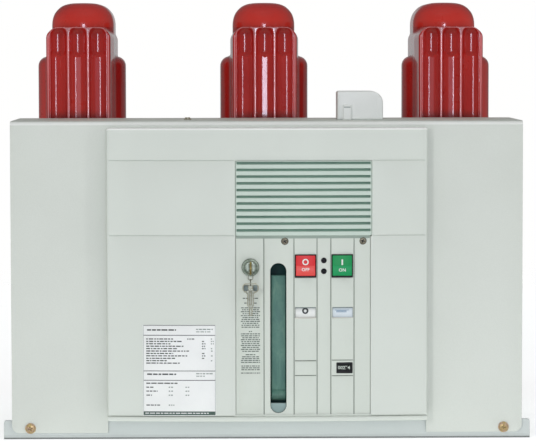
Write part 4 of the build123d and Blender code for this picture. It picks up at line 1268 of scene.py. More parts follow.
def insert():
    sh = Shell()
    x0, x1, z0, z1 = INSERT_X0 + 0.35, INSERT_X1 - 0.35, INSERT_Z0 + 0.3, INSERT_Z1 - 0.1
    mapf = lambda u, v, d: (u, face_y(u) + PANEL_D + d, v)
    holes = [stadium(SLOT_X0, SLOT_X1, SLOT_Z0, SLOT_Z1, 14)]
    holes += [rect(x - BUTTON_W / 2 - 0.5, x + BUTTON_W / 2 + 0.5, BUTTON_Z - BUTTON_H / 2 - 0.5, BUTTON_Z + BUTTON_H / 2 + 0.5, 0.6, 3) for x in (OFF_X, ON_X)]
    holes += [rect(29.7, 52.1, 133.0, 145.0, 0.6, 3), rect(68.7 + 0.9, 91.7, 133.0, 145.0, 0.6, 3), rect(74.0, 91.4, 73.6, 85.4, 0.6, 3)]
    holes += [ring(60.5, 195.2, 3.0, 24), ring(60.5, 183.6, 3.0, 24), ring(LOCK_X, LOCK_Z, 9.4, 40)]
    holes += [ring(18.7, 216.0, 2.1, 16), ring(102.3, 216.0, 2.1, 16)]
    # seams between the modules of the panel
    g = 0.46
    pockets = []

    def seam_v(x, a, b):
        pockets.append((rect(x - g, x + g, a, b, 0, 1, 30.0), 1.3, soft_rim(0.15, 2), 1))

    def seam_h(z, a, b):
        pockets.append((rect(a, b, z - g, z + g, 0, 1, 6.0), 1.3, soft_rim(0.15, 2), 1))
    seam_v(-3.7, z0 + 1.0, z1 - 1.0)
    seam_v(92.9, z0 + 1.0, z1 - 1.0)
    seam_v(53.2, z0 + 1.0, z1 - 1.0)
    seam_v(28.5, z0 + 1.0, z1 - 1.0)
    seam_v(68.0, z0 + 1.0, z1 - 1.0)
    for z in (87.4, 71.4):
        seam_h(z, 29.5, 52.2)
    seam_h(87.9, 69.0, 91.9)
    seam_h(71.0, 69.0, 91.9)
    plate(sh, rect(x0, x1, z0, z1, 0.8, 3, 6.0), holes, mapf, soft_rim(0.4, 3), 3.0, hole_rim=soft_rim(0.35, 3),
          grid=(steps(x0, x1, 7.0), steps(z0, z1, 16.0)[1:-1]), pockets=pockets)
    # painted shadow: a thin dark strip under the louvre along the top of the insert
    bar(sh, INSERT_X0 + 0.7, INSERT_X1 - 0.7, 218.9, 222.3, mapf, -0.15, 0.3, 2, 6.0)
    sh.make("control_insert", ["insert", "seam", "louvre_shadow"], replaces=["control_panel"], smooth=35)


insert()


# ------------------------------------------------------------------ more helpers
def prism(sh, outer, holes, mapf, d0, d1, r=0.4, seg=3, k=0, edge_k=None, hole_r=0.2):
    """Solid between two depths with both rims rounded, through holes included."""
    edge_k = k if edge_k is None else edge_k

    def stations(q):
        a = soft_rim(q, seg)
        return [(o, d0 + e) for o, e in a] + [(o, d1 - e) for o, e in reversed(a)]
    loops = [(outer, stations(r), False)] + [((lambda off, h=h: h(-off)), stations(hole_r), True) for h in holes]
    ends = []
    for fn, st, hole in loops:
        rows = []
        for off, d in st:
            n0 = len(sh.v)
            pts = fn(off)
            sh.v += [mapf(u, v, d) for u, v in pts]
            rows.append(list(range(n0, n0 + len(pts))))
        for i, (ra, rb) in enumerate(zip(rows[:-1], rows[1:])):
            m = len(ra)
            for j in range(m):
                q = (ra[j], rb[j], rb[(j + 1) % m], ra[(j + 1) % m])
                sh.f.append(tuple(reversed(q)) if hole else q)
                sh.k.append(edge_k)
        ends.append((rows[0], rows[-1]))
    for which, depth in ((0, d0), (1, d1)):
        off0 = r
        xy, tris, where = fill(outer(off0), [h(-hole_r) for h in holes])
        ids = [i for e in ends for i in e[which]]
        link = dict(zip(where, ids))
        n0 = len(sh.v)
        extra = [i for i in range(len(xy)) if i not in link]
        sh.v += [mapf(xy[i][0], xy[i][1], depth) for i in extra]
        link.update({i: n0 + j for j, i in enumerate(extra)})
        sh.f += [tuple(link[i] for i in (t if which == 0 else reversed(t))) for t in tris]
        sh.k += [k] * len(tris)


def at_y(y0):
    return lambda u, v, d: (u, y0 + d, v)


def annulus(sh, centre, axis, r0, r1, h, n=36, k=0, soft=0.06):
    lathe(sh, [(r0, 0), (r1, 0), (r1, h - soft), (r1 - soft, h), (r0 + soft, h), (r0, h - soft), (r0, 0)], centre, axis, n, k)


# ------------------------------------------------------------------ push buttons
def button(name, body, node, x, colours, sign):
    yf = face_y(x) + 0.4 - 1.2
    zc, hw, hh = BUTTON_Z, BUTTON_W / 2, BUTTON_H / 2
    sh = Shell()
    field = rect(x - hw + 0.5, x + hw - 0.5, zc - hh + 1.5, zc + hh - 0.45, 0.6, 4)
    plate(sh, rect(x - hw, x + hw, zc - hh, zc + hh, 1.1, 4), [], at_y(yf), soft_rim(0.6, 4), 10.2, pockets=[(field, 0.55, soft_rim(0.2, 2), 0)])
    lathe(sh, [(0, 0), (5.0, 0), (5.0, 3.0), (4.2, 3.4), (4.2, 5.0), (5.0, 5.4), (5.0, 14.9), (4.2, 15.9), (0, 15.9)], (x, yf + 10.1, zc), (0, 1, 0), 28, 0)
    # coloured plate lying in the recess, and its paler lower field
    prism(sh, lambda off: field(off + 0.12), [], at_y(yf), -0.10, 0.60, 0.22, 3, 1)
    low = rect(x - hw + 1.15, x + hw - 1.15, zc - hh + 2.15, zc + 0.6, 0.45, 3)
    prism(sh, low, [], at_y(yf), -0.20, 0.0, 0.08, 2, 2)
    face = at_y(yf)
    if sign == "O":
        annulus(sh, (x - 0.1, yf + 0.02, zc + 4.5), (0, -1, 0), 2.1, 3.4, 0.34, 40, 3)
        letters(sh, "OFF", x, zc - 3.6, 3.5, face, -0.36, -0.15, 3, 0.015)
    else:
        prism(sh, rect(x - 0.85, x + 0.85, zc + 1.1, zc + 7.2, 0.3, 3), [], face, -0.34, 0.0, 0.08, 2, 3)
        letters(sh, "ON", x, zc - 4.2, 3.5, face, -0.36, -0.15, 3, 0.015)
        prism(sh, rect(x - 8.8, x + 8.8, zc - 8.6, zc - 8.15, 0.1, 2), [], face, -0.30, -0.1, 0.04, 1, 2)
    sh.make(name, ["black", colours[0], colours[1], "ink_white"], body=body, replaces=[node], smooth=35)


button("off_push_button", "off_button", "off_button", OFF_X, ("red", "red_light", "red_button"), "O")
button("on_push_button", "on_button", "on_button", ON_X, ("green", "green_light", "green_button"), "I")


# ------------------------------------------------------------------ charging lever and its slot
LEVER_X, LEVER_HALF, PIVOT_Y, PIVOT_Z, LEVER_TOP = 11.9, 7.7, -14.5, 50.0, 179.0


def lever():
    sh = Shell()
    # side outline: bar with rounded top and a round boss about the pin
    up = math.sqrt(6.5 ** 2 - 3.0 ** 2)
    pts = [(PIVOT_Y + 3.0, PIVOT_Z + up)]
    pts += [(PIVOT_Y + 3.0, LEVER_TOP - 1.4), (PIVOT_Y + 2.6, LEVER_TOP - 0.4), (PIVOT_Y + 1.6, LEVER_TOP), (PIVOT_Y - 1.6, LEVER_TOP),
            (PIVOT_Y - 2.6, LEVER_TOP - 0.4), (PIVOT_Y - 3.0, LEVER_TOP - 1.4), (PIVOT_Y - 3.0, PIVOT_Z + up)]
    s = math.atan2(up, -3.0)
    e = math.atan2(up, 3.0) + 2 * math.pi
    pts += [(PIVOT_Y + 6.5 * math.cos(s + (e - s) * i / 40), PIVOT_Z + 6.5 * math.sin(s + (e - s) * i / 40)) for i in range(1, 40)]
    mapf = lambda u, v, d: (LEVER_X - LEVER_HALF + d, u, v)
    prism(sh, lambda off: contour(pts, 0.0, off), [ring(PIVOT_Y, PIVOT_Z, 3.1, 36)], mapf, 0.0, 2 * LEVER_HALF, 0.7, 4, 0, hole_r=0.35)
    sh.make("charging_lever_bar", ["lever"], body="charging_lever", replaces=["charging_lever"], smooth=35)


lever()


def slot_parts():
    sh = Shell()
    out = stadium(SLOT_X0 - 0.75, SLOT_X1 + 0.75, SLOT_Z0 - 0.75, SLOT_Z1 + 0.75, 14)
    gap = stadium(SLOT_X0 + 0.05, SLOT_X1 - 0.05, SLOT_Z0 + 0.05, SLOT_Z1 - 0.05, 14)
    prism(sh, out, [gap], at_y(0), -21.4, -6.0, 0.2, 2, 0)
    prism(sh, out, [], at_y(0), -6.3, -5.0, 0.2, 2, 0)
    sh.make("slot_liner", ["liner"], smooth=35)
    sh = Shell()
    r, xm = (SLOT_X1 - SLOT_X0) / 2 - 0.25, (SLOT_X0 + SLOT_X1) / 2
    top = 41.6
    pts = [(xm + r, top), (xm - r, top)]
    zc = SLOT_Z0 + (SLOT_X1 - SLOT_X0) / 2
    pts += [(xm + r * math.cos(a), zc + r * math.sin(a)) for a in [math.pi + math.pi * i / 24 for i in range(25)]]
    prism(sh, lambda off: contour(pts, 0.0, off), [], at_y(0), -22.2, -18.0, 0.55, 4, 0)
    prism(sh, rect(xm - 5.6, xm + 5.6, 36.4, 36.9, 0.1, 2), [], at_y(0), -22.35, -22.0, 0.05, 1, 0)
    sh.make("slot_end_block", ["stop"], replaces=["slot_stop"], smooth=35)


slot_parts()


# ------------------------------------------------------------------ windows
def drum(name, node, x0, x1, z0, z1, mat, marks):
    xm, zm = (x0 + x1) / 2, (z0 + z1) / 2
    y0, R = face_y(xm) + 2.3, 13.0

    def mapf(u, v, d):
        return (u, y0 + R - math.sqrt(max(R * R - (v - zm) ** 2, 0.0)) + d, v)
    sh = Shell()
    plate(sh, rect(x0 + 0.25, x1 - 0.25, z0 - 1.0, z1 + 1.0, 0.5, 3, 2.0), [], mapf, soft_rim(0.3, 3), 5.0, grid=(steps(x0, x1, 5.0), steps(z0 - 1.0, z1 + 1.0, 1.0)[1:-1]))
    rbox(sh, xm - 5, xm + 5, y0 + 6.0, 20.0, zm - 4, zm + 4, 0.4, 2, 0)
    marks(sh, mapf, xm, zm)
    sh.make(name, [mat, "ink", "ink_blue", "red_light"], replaces=[node], smooth=35)


def open_mark(sh, mapf, xm, zm):
    y = mapf(xm, zm + 2.0, 0)[1]
    annulus(sh, (xm - 0.3, y + 0.1, zm + 2.0), (0, -1, 0), 1.6, 3.4, 0.26, 36, 1, 0.05)
    for i, x in enumerate(steps(xm - 9.6, xm + 9.6, 1.6)[:-1]):
        if abs(x - xm + 0.3) > 2.6:
            bar(sh, x, x + 0.85, zm + 5.15, zm + 5.75, mapf, -0.12, 0.1, 1, 3.0)


def spring_mark(sh, mapf, xm, zm):
    rng = random.Random(5)
    for x in steps(xm - 6.6, xm + 4.4, 1.0)[:-1]:
        bar(sh, x, x + 0.62, zm + 0.2, zm + 2.3, mapf, -0.12, 0.1, 2, 3.0)
    bar(sh, xm - 8.4, xm + 7.0, zm + 2.45, zm + 2.85, mapf, -0.12, 0.1, 2, 3.0)


drum("position_drum", "position_indicator", 29.7, 52.1, 133.0, 145.0, "white", open_mark)
drum("spring_drum", "spring_indicator", 69.6, 91.7, 133.0, 145.0, "blue_white", spring_mark)


def window_sills():
    """Thin dark strip over each window, a painted shadow under its top edge, and a pale sill under it."""
    sh = Shell()
    for x0, x1 in ((29.7, 52.1), (69.6, 91.7)):
        # painted shadow under the top edge of the window
        bar(sh, x0 + 0.1, x1 - 0.1, 144.1, 144.95, lambda u, v, d: (u, face_y(u) + d, v), 1.5, 4.2, 1, 6.0)
        bar(sh, x0 + 0.1, x1 - 0.1, 133.05, 133.55, lambda u, v, d: (u, face_y(u) + d, v), 1.15, 4.2, 0, 6.0)
    sh.make("window_sills", ["sill", "window_shadow"], smooth=35)


window_sills()


def counter():
    sh = Shell()
    xa, xb, za, zb = 74.15, 91.25, 73.75, 85.25
    xm = (xa + xb) / 2
    y0 = face_y(xm) + PANEL_D
    wx0, wx1, wz0, wz1 = 75.3, 88.9, 76.8, 82.5
    plate(sh, rect(xa, xb, za, zb, 0.5, 3), [rect(wx0, wx1, wz0, wz1, 0.4, 3)], at_y(y0), soft_rim(0.35, 3), 8.0, hole_rim=soft_rim(0.5, 3))
    rbox(sh, xa + 0.5, xb - 0.5, y0 + 7.5, y0 + 13.0, za + 0.5, zb - 0.5, 0.4, 2, 0)
    w = (wx1 - wx0 - 0.6) / 5
    R, zc = 5.2, (wz0 + wz1) / 2
    for i, digit in enumerate("00274"):
        a = wx0 + 0.3 + i * w
        cy = y0 + 0.75 + R
        lathe(sh, [(0, 0.08), (R - 0.35, 0.08), (R, 0.3), (R, w - 0.3), (R - 0.35, w - 0.08), (0, w - 0.08)], (a, cy, zc), (1, 0, 0), 40, 0)
        face = lambda u, v, d: (u, cy - math.sqrt(max(R * R - (v - zc) ** 2, 0.1)) + d, v)
        letters(sh, digit, a + w / 2, zc, 3.7, face, -0.12, 0.12, 1, 0.02)
    sh.make("counter_case", ["black", "ink_pale"], replaces=["operation_counter"], smooth=35)


counter()


# ------------------------------------------------------------------ plates
def insert_face(u, v, d):
    return (u, face_y(u) + PANEL_D + d, v)


def blank():
    sh = Shell()
    plate(sh, rect(29.5, 52.1, 72.1, 86.8, 0.5, 3, 6.0), [], insert_face, soft_rim(0.22, 3), 0.35 + 0.35,
          grid=(steps(29.5, 52.1, 6.0), [79.0]))
    for v in range(len(sh.v)):
        x, y, z = sh.v[v]
        sh.v[v] = (x, y - 0.35, z)
    sh.make("blanking_plate", ["insert"], replaces=["blank_plate"], smooth=35)


blank()


def rating():
    rng = random.Random(11)
    sh = Shell()
    x0, x1, z0, z1 = -133.7, -55.2, 28.5, 126.4
    plate(sh, rect(x0, x1, z0, z1, 0.8, 3, 8.0), [], lambda u, v, d: (u, face_y(u) - 0.38 + d, v), soft_rim(0.12, 2), 0.36,
          grid=(steps(x0, x1, 8.0), [60.0, 90.0]))
    face = lambda u, v, d: (u, face_y(u) - 0.38 + d, v)
    a, b = -0.04, 0.1

    def rule(xa, xb, z, w=0.32, k=1):
        bar(sh, xa, xb, z - w / 2, z + w / 2, face, a, b, k, 8.0)
    rule(x0 + 0.6, x1 - 0.6, 125.8, 0.55)
    for z in (115.2, 76.75, 66.66):
        rule(x0 + 0.6, x1 - 0.6, z, 0.7)
    for x in (x0 + 0.6, x1 - 0.9):
        bar(sh, x, x + 0.32, z0 + 0.5, z1 - 0.6, face, a, b, 2, 8.0)
    bar(sh, x0 + 0.5, x1 - 0.5, 29.1, 33.1, face, a, b, 3, 8.0)
    words(sh, x0 + 2.5, x1 - 8.0, 31.2, 0.9, lambda u, v, d: face(u, v, d - 0.04), a, b, rng, 0, gap=(0.8, 1.2), size=(2.0, 6.0))
    words(sh, -129.0, -98.0, 120.9, 1.55, face, a, b, rng, 1)
    words(sh, -76.5, -57.5, 121.6, 1.1, face, a, b, rng, 2, size=(1.4, 4.0))
    words(sh, -76.5, -61.0, 118.9, 0.9, face, a, b, rng, 2, size=(1.4, 4.0))
    ends = (-100, -92, -104, -90, -97, -84, -101, -86, -99, -108, -94)
    for i, e in enumerate(ends):
        z = 111.2 - 2.6 * i
        words(sh, -130.0, e, z, 1.15, face, a, b, rng, 1, size=(1.6, 5.0))
        if i in (0, 1, 2, 3, 4, 6, 7, 8):
            words(sh, -86.0 if i == 0 else -70.2, -78.0 if i == 0 else -66.5, z, 1.1, face, a, b, rng, 1, size=(1.2, 3.0))
        if i in (0, 1, 2, 4, 5, 7, 9):
            words(sh, -60.6, -57.6, z, 1.1, face, a, b, rng, 2, size=(0.9, 2.2))
    words(sh, -129.0, -98.0, 73.2, 1.5, face, a, b, rng, 1)
    words(sh, -76.5, -58.0, 73.8, 1.0, face, a, b, rng, 2, size=(1.4, 4.0))
    words(sh, -76.5, -66.0, 71.2, 0.9, face, a, b, rng, 2, size=(1.4, 4.0))
    words(sh, -130.0, -96.0, 63.5, 1.2, face, a, b, rng, 1)
    for z, e in ((59.2, -121.0), (55.0, -118.0), (50.6, -124.0), (39.9, -114.0)):
        words(sh, -130.0, e, z, 1.1, face, a, b, rng, 1, size=(1.5, 4.0))
        words(sh, -106.0, -100.0, z, 1.1, face, a, b, rng, 2, size=(1.2, 2.4))
        if z > 50:
            words(sh, -88.0, -84.0, z, 1.1, face, a, b, rng, 2, size=(1.2, 2.4))
    sh.make("rating_plate_film", ["plate", "ink", "ink_grey", "ink_band"], replaces=["rating_plate"], smooth=35)


rating()


def strip():
    rng = random.Random(23)
    sh = Shell()
    x0, x1, z0, z1 = -30.5, -6.0, 29.5, 165.0
    face = lambda u, v, d: (u, face_y(u) + PANEL_D - 0.2 + d, v)
    plate(sh, rect(x0, x1, z0, z1, 1.5, 4, 6.0), [], face, soft_rim(0.1, 2), 0.3, grid=(steps(x0, x1, 6.0), steps(z0, z1, 20.0)[1:-1]))

    def line(z, half, k=1):
        words(sh, -18.2 - half, -18.2 + half, z, 1.05, face, -0.05, 0.08, rng, k, True, gap=(0.5, 0.9), size=(1.0, 4.2))
    line(160.4, 5.0)
    line(154.8, 8.2)
    line(149.7, 7.4)
    z = 144.6
    while z > 122.0:
        line(z, rng.choice((10.2, 9.6, 10.3, 8.4, 10.0)))
        z -= 2.08
    line(119.2, 2.2)
    z = 116.6
    while z > 97.0:
        line(z, rng.choice((10.2, 9.8, 8.8, 10.3)))
        z -= 2.08
    line(94.2, 5.2)
    z = 91.9
    while z > 84.0:
        line(z, rng.choice((10.2, 9.4, 10.3)))
        z -= 2.0
    z = 82.0
    while z > 76.5:
        line(z, rng.choice((9.8, 7.4)))
        z -= 2.0
    line(74.4, 10.3)
    sh.make("instruction_film", ["strip", "ink_soft"], replaces=["instruction_strip"], smooth=35)


strip()


# ------------------------------------------------------------------ lock and keys
LY = face_y(LOCK_X) + 0.4
BOW_Y = LY - 13.9


def lock():
    sh = Shell()
    lathe(sh, [(6.05, -19.5), (6.05, 0.9), (6.35, 1.55), (6.9, 2.05), (7.5, 2.42), (8.0, 2.42), (8.55, 2.05), (8.95, 1.35), (9.1, 0.6), (9.1, -0.4),
               (8.6, -0.6), (8.6, -19.5), (6.05, -19.5)], (LOCK_X, LY, LOCK_Z), (0, -1, 0), 72, 0)
    annulus(sh, (LOCK_X, LY - 0.9, LOCK_Z), (0, -1, 0), 6.05, 6.35, 0.7, 64, 0, 0.05)
    sh.make("lock_ring", ["nickel", "dark"], replaces=["lock_body"], smooth=32)
    sh = Shell()
    mapf = lambda u, v, d: (u, LY - 2.6 + d, v)
    plate(sh, ring(LOCK_X, LOCK_Z, 5.95, 64), [rect(LOCK_X - 1.0, LOCK_X + 1.0, LOCK_Z - 4.0, LOCK_Z + 4.0, 0.2, 2)], mapf, soft_rim(0.45, 3), 18.0, hole_rim=soft_rim(0.35, 3))
    annulus(sh, (LOCK_X, LY - 2.5, LOCK_Z), (0, -1, 0), 4.4, 4.75, 0.16, 56, 0, 0.04)
    sh.make("lock_barrel", ["nickel"], body="lock_key", replaces=["lock_plug"], smooth=32)
    # the key stands edge-on in the lock
    sh = Shell()
    a0 = math.asin(3.8 / 7.0)
    n = 56
    pts = [(LY + 14.8, -3.8), (LY + 14.8, 3.8)]
    pts += [(BOW_Y + 7.0 * math.cos(a), 7.0 * math.sin(a)) for a in [a0 + (2 * math.pi - 2 * a0) * i / n for i in range(n + 1)]]
    pts = [(u, v + LOCK_Z) for u, v in pts]
    side = lambda u, v, d: (LOCK_X - 0.95 + d, u, v)
    prism(sh, lambda off: contour(pts, 0.0, off), [ring(BOW_Y, LOCK_Z - 2.6, 2.6, 32)], side, 0.0, 1.9, 0.28, 3, 0, 1, 0.25)
    for s in (-1, 1):
        annulus(sh, (LOCK_X + s * 0.9, BOW_Y, LOCK_Z), (s, 0, 0), 5.75, 6.45, 0.24, 56, 0, 0.06)
        bar(sh, LY - 6.6, LY + 9.0, LOCK_Z - 0.45, LOCK_Z + 0.45, lambda u, v, d: (LOCK_X + s * (0.95 + d), u, v), -0.1, 0.12, 0, 4.0)
    sh.make("door_key", ["key_steel", "brass"], body="lock_key", replaces=["lock_key"], smooth=32)


lock()

RIM_Z = 181.9
LINK_R, LINK_LEN, RING_R = 2.5, 4.0, 3.6
RING_Z = RIM_Z - LINK_LEN - LINK_R + 1.0 + 0.15 - RING_R
KEY_HOLE_Z = RING_Z - RING_R - 1.0
KEY_TOP = KEY_HOLE_Z + 3.4


def hanging_key():
    sh = Shell()
    m = 18
    path = [(LOCK_X + LINK_R * math.cos(a), BOW_Y, RIM_Z + LINK_R * math.sin(a)) for a in [math.pi * i / m for i in range(m + 1)]]
    path += [(LOCK_X - LINK_R, BOW_Y, RIM_Z - LINK_LEN * t / 4) for t in (1, 2, 3)]
    path += [(LOCK_X + LINK_R * math.cos(a), BOW_Y, RIM_Z - LINK_LEN + LINK_R * math.sin(a)) for a in [math.pi + math.pi * i / m for i in range(m + 1)]]
    path += [(LOCK_X + LINK_R, BOW_Y, RIM_Z - LINK_LEN + LINK_LEN * t / 4) for t in (1, 2, 3)]
    tube(sh, path, 0.48, 14, True, 0)
    # split ring: two turns of flattened wire side by side
    for dx in (-0.27, 0.27):
        tube(sh, [(LOCK_X + dx, BOW_Y + RING_R * math.cos(2 * math.pi * i / 44), RING_Z + RING_R * math.sin(2 * math.pi * i / 44)) for i in range(44)], 0.29, 12, True, 0)
    sh.make("key_links", ["key_steel"], body="spare_key", replaces=["key_ring"], smooth=50)
    sh = Shell()
    top = KEY_TOP
    x = LOCK_X
    pts = [(x - 1.4, top - 33.6), (x - 0.4, top - 34.5), (x + 0.9, top - 34.5), (x + 2.0, top - 33.4),
           (x + 2.0, top - 32.2), (x + 1.3, top - 31.5), (x + 1.3, top - 30.7), (x + 2.0, top - 30.0), (x + 2.0, top - 28.8), (x + 1.0, top - 28.0),
           (x + 1.0, top - 27.3), (x + 2.0, top - 26.4), (x + 2.0, top - 24.9), (x + 3.4, top - 23.5), (x + 3.4, top - 11.2),
           (x + 4.6, top - 9.5), (x + 6.2, top - 9.3), (x + 8.5, top - 7.0), (x + 8.5, top - 2.6), (x + 6.4, top), (x - 6.4, top), (x - 8.5, top - 2.6),
           (x - 8.5, top - 7.0), (x - 6.2, top - 9.3), (x - 4.6, top - 9.5), (x - 3.4, top - 11.2), (x - 3.4, top - 23.5), (x - 1.4, top - 24.9)]
    rad = [0.3, 0.3, 0.3, 0.3, 0.2, 0.2, 0.2, 0.2, 0.2, 0.2, 0.2, 0.2, 0.3, 0.6, 1.2, 1.2, 1.6, 1.8, 1.8, 1.8, 1.8, 1.8, 1.8, 1.6, 1.2, 1.2, 0.6, 0.6]
    groove = rect(x - 1.05, x + 0.75, top - 22.6, top - 8.6, 0.4, 3)
    arms = [rect(x - 7.4, x - 2.6, top - 7.9, top - 1.5, 1.4, 4), rect(x + 2.6, x + 7.4, top - 7.9, top - 1.5, 1.4, 4)]
    plate(sh, lambda off: contour(pts, rad, off, 3), [ring(x, KEY_HOLE_Z, 1.8, 24)], at_y(BOW_Y - 0.9), soft_rim(0.26, 3), 1.8, hole_rim=soft_rim(0.2, 2),
          pockets=[(groove, 0.45, soft_rim(0.2, 2), 0)] + [(a, 0.28, soft_rim(0.16, 2), 2) for a in arms], wall_k=1)
    sh.make("second_key", ["key_face", "brass", "key_dull"], body="spare_key", replaces=["spare_key"], smooth=32)


hanging_key()


# ------------------------------------------------------------------ screws and plugs of the front
def front_fixings():
    sh = Shell()
    for i, x in enumerate((18.7, 102.3)):
        y = face_y(x) + PANEL_D
        cross_screw(sh, (x, y + 0.25, 216.0), (0, -1, 0), 3.55, 1.45, 0, 1, 0.5 + i * 0.8, 0.45)
        annulus(sh, (x, y + 0.35, 216.0), (0, -1, 0), 3.3, 3.95, 0.5, 44, 1, 0.08)
        lathe(sh, [(0, 0), (2.0, 0), (2.0, 11.0), (0, 11.6)], (x, y + 0.1, 216.0), (0, 1, 0), 20, 0)
    sh.make("panel_screw_heads", ["screw_dull", "dark"], replaces=["panel_screws"], smooth=35)
    sh = Shell()
    for i, x in enumerate((-256.0, 256.0)):
        lathe(sh, [(0, 0), (5.75, 0), (5.8, 0.1), (5.8, 0.6), (5.65, 0.75), (0, 0.75)], (x, 0.0, 12.0), (0, -1, 0), 48, 0)
        cross_screw(sh, (x, -0.75, 12.0), (0, -1, 0), 4.5, 1.8, 0, 0, 0.35 + i * 1.1, 0.5)
        lathe(sh, [(0, 0), (3.05, 0), (3.05, 3.0), (0, 3.0)], (x, -0.1, 12.0), (0, 1, 0), 24, 0)
    sh.make("front_screw_heads", ["chromate", "dark"], replaces=["front_screws"], smooth=35)
    sh = Shell()
    lathe(sh, [(0, 0.7), (1.35, 0.7), (1.45, 2.1), (1.9, 2.55), (2.6, 2.55), (3.0, 2.1), (3.05, 0.9), (3.3, 0.75), (4.05, 0.7), (4.2, 0.5), (4.2, 0.0),
               (2.9, 0.0), (2.9, -8.0), (0, -8.0)], (-86.0, 60.0, HOUSING_H), (0, 0, 1), 40, 0)
    sh.make("top_bush", ["screw"], replaces=["top_plug"], smooth=35)
    # black bushes in the two round panel holes
    sh = Shell()
    y = face_y(60.5) + PANEL_D
    for z in (195.2, 183.6):
        lathe(sh, [(2.35, -0.25), (2.6, -0.12), (2.95, -0.12), (2.95, 9.0), (0, 9.0), (0, 7.0), (2.35, 7.0), (2.35, -0.25)], (60.5, y, z), (0, 1, 0), 36, 0)
    sh.make("hole_bushes", ["black"], smooth=35)


front_fixings()


# ------------------------------------------------------------------ connector box on the top sheet
def connector():
    sh = Shell()
    x0, x1, z0, z1 = 78.0, 128.0, HOUSING_H, 375.0
    pts = [(x0, z0), (x1, z0), (x1, z1), (x0, z1)]
    body = lambda off: contour(pts, [0.3, 0.3, 13.0, 2.6], off, 10)
    seam = rect(120.5, 121.4, z0 + 1.2, 368.5, 0.2, 2)
    plate(sh, body, [], at_y(50.0), soft_rim(1.8, 5), 30.0, pockets=[(seam, 0.3, soft_rim(0.25, 3), 0)], grid=(steps(x0, x1, 12.0), [355.0]))
    # rear half of the case behind a parting gap
    prism(sh, lambda off: body(off + 0.35), [], at_y(0), 80.0, 80.9, 0.05, 1, 1)
    prism(sh, body, [], at_y(0), 80.8, 94.0, 0.9, 3, 0)
    # latch lug with a rounded top and a groove across
    lug = lambda off: contour([(84.0, z0), (93.0, z0), (93.0, 360.6), (84.0, 360.6)], [0.3, 0.3, 2.2, 2.2], off, 5)
    plate(sh, lug, [], at_y(45.05), soft_rim(0.9, 4), 5.6, pockets=[(rect(85.0, 92.0, 357.0, 358.1, 0.2, 2), 0.5, soft_rim(0.15, 2), 1)])
    for z in (348.4, 350.0):
        prism(sh, rect(85.8, 91.2, z, z + 0.7, 0.25, 3), [], at_y(0), 45.0, 45.6, 0.06, 1, 0)
    prism(sh, rect(x0 - 0.2, x1 + 0.2, 50.5, 93.8, 1.0, 4), [], lambda u, v, d: (u, v, z0 + 0.9 - d), 0.0, 1.0, 0.2, 2, 1)
    sh.make("connector_case", ["connector", "shade_grey"], replaces=["connector_box"], smooth=35)


connector()


# ------------------------------------------------------------------ fixings of the poles, base and rear
def pole_bolts():
    sh = Shell()
    for i, (_, x0) in enumerate(POLE_X):
        for j, (dx, y) in enumerate(((-46.5, 176.0), (46.5, 176.0), (-46.5, 283.0), (46.5, 283.0))):
            bolt(sh, (x0 + dx, y, 117.0), (0, 0, 1), 8.0, 0, 0.0, 0.3 + 0.37 * (4 * i + j))
    sh.make("pole_bolts", ["bolt"], smooth=35)


pole_bolts()


def rear_cover():
    sh = Shell()
    x0, x1, z0, z1 = -262.0, 262.0, 50.0, 97.0
    marks = [(x, z) for x in (-250.0, -84.0, 84.0, 225.0) for z in (56.0, 91.0)]
    plate(sh, rect(x0, x1, z0, z1, 4.0, 5, 60.0), [ring(x, z, 2.6, 20) for x, z in marks], lambda u, v, d: (u, REAR_Y + 1.5 - d, v), soft_rim(0.4, 3), 1.48)
    sh.make("rear_cover_sheet", ["steel_paint"], smooth=32)
    sh = Shell()
    for i, (x, z) in enumerate(marks):
        lathe(sh, [(0, 0), (4.9, 0), (4.9, 0.5), (4.7, 0.7), (0, 0.7)], (x, REAR_Y + 1.45, z), (0, 1, 0), 32, 0)
        cross_screw(sh, (x, REAR_Y + 2.1, z), (0, 1, 0), 3.7, 1.9, 0, 1, 0.2 + 0.9 * i, 0.5)
    for i, (x, z) in enumerate([(x, z) for x in (-262.0, 262.0) for z in (120.0, 220.0, 330.0)] + [(-105.0, 330.0), (105.0, 330.0), (-105.0, 120.0), (105.0, 120.0)]):
        cross_screw(sh, (x, HOUSING_D, z), (0, 1, 0), 3.9, 2.0, 0, 1, 0.5 + 0.8 * i, 0.5)
    sh.make("rear_screws", ["screw", "dark"], smooth=35)


rear_cover()


def rear_sheet():
    """Galvanised rear sheet with pressed stiffening beads and a soft edge."""
    sh = Shell()
    x0, x1, z0, z1 = -274.0, 274.0, REAR_H, HOUSING_H - 2.0
    beads = [stadium(x - 5.0, x + 5.0, 150.0, 300.0, 10) for x in (-157.0, -53.0, 53.0, 157.0)]
    plate(sh, rect(x0, x1, z0 + 0.1, z1 - 0.1, 1.0, 3, 60.0), [], lambda u, v, d: (u, HOUSING_D - d, v), soft_rim(0.3, 3), 2.9,
          pockets=[(b, 1.6, soft_rim(1.4, 5), 0) for b in beads], grid=(steps(x0, x1, 40.0), steps(z0, z1, 40.0)[1:-1]))
    sh.make("rear_sheet", ["zinc"], replaces=["rear_panel"], smooth=35)


rear_sheet()


def terminals():
    for label, x0 in POLE_X:
        for lab, z in (("upper", 422.0), ("lower", 217.0)):
            sh = Shell()
            outline = lambda off: contour([(x0 - 25.0, 304.2), (x0 + 25.0, 304.2), (x0 + 25.0, 396.0), (x0 - 25.0, 396.0)], [1.0, 1.0, 12.0, 12.0], off, 8)
            prism(sh, outline, [ring(x0, y, 6.5, 36) for y in (354.0, 380.0)], lambda u, v, d: (u, v, z + 8.0 - d), 0.0, 16.0, 0.9, 4, 0, hole_r=0.5)
            sh.make(f"{lab}_bar_{label}", ["silver"], replaces=[f"{lab}_terminal_{label}"], smooth=35)


terminals()


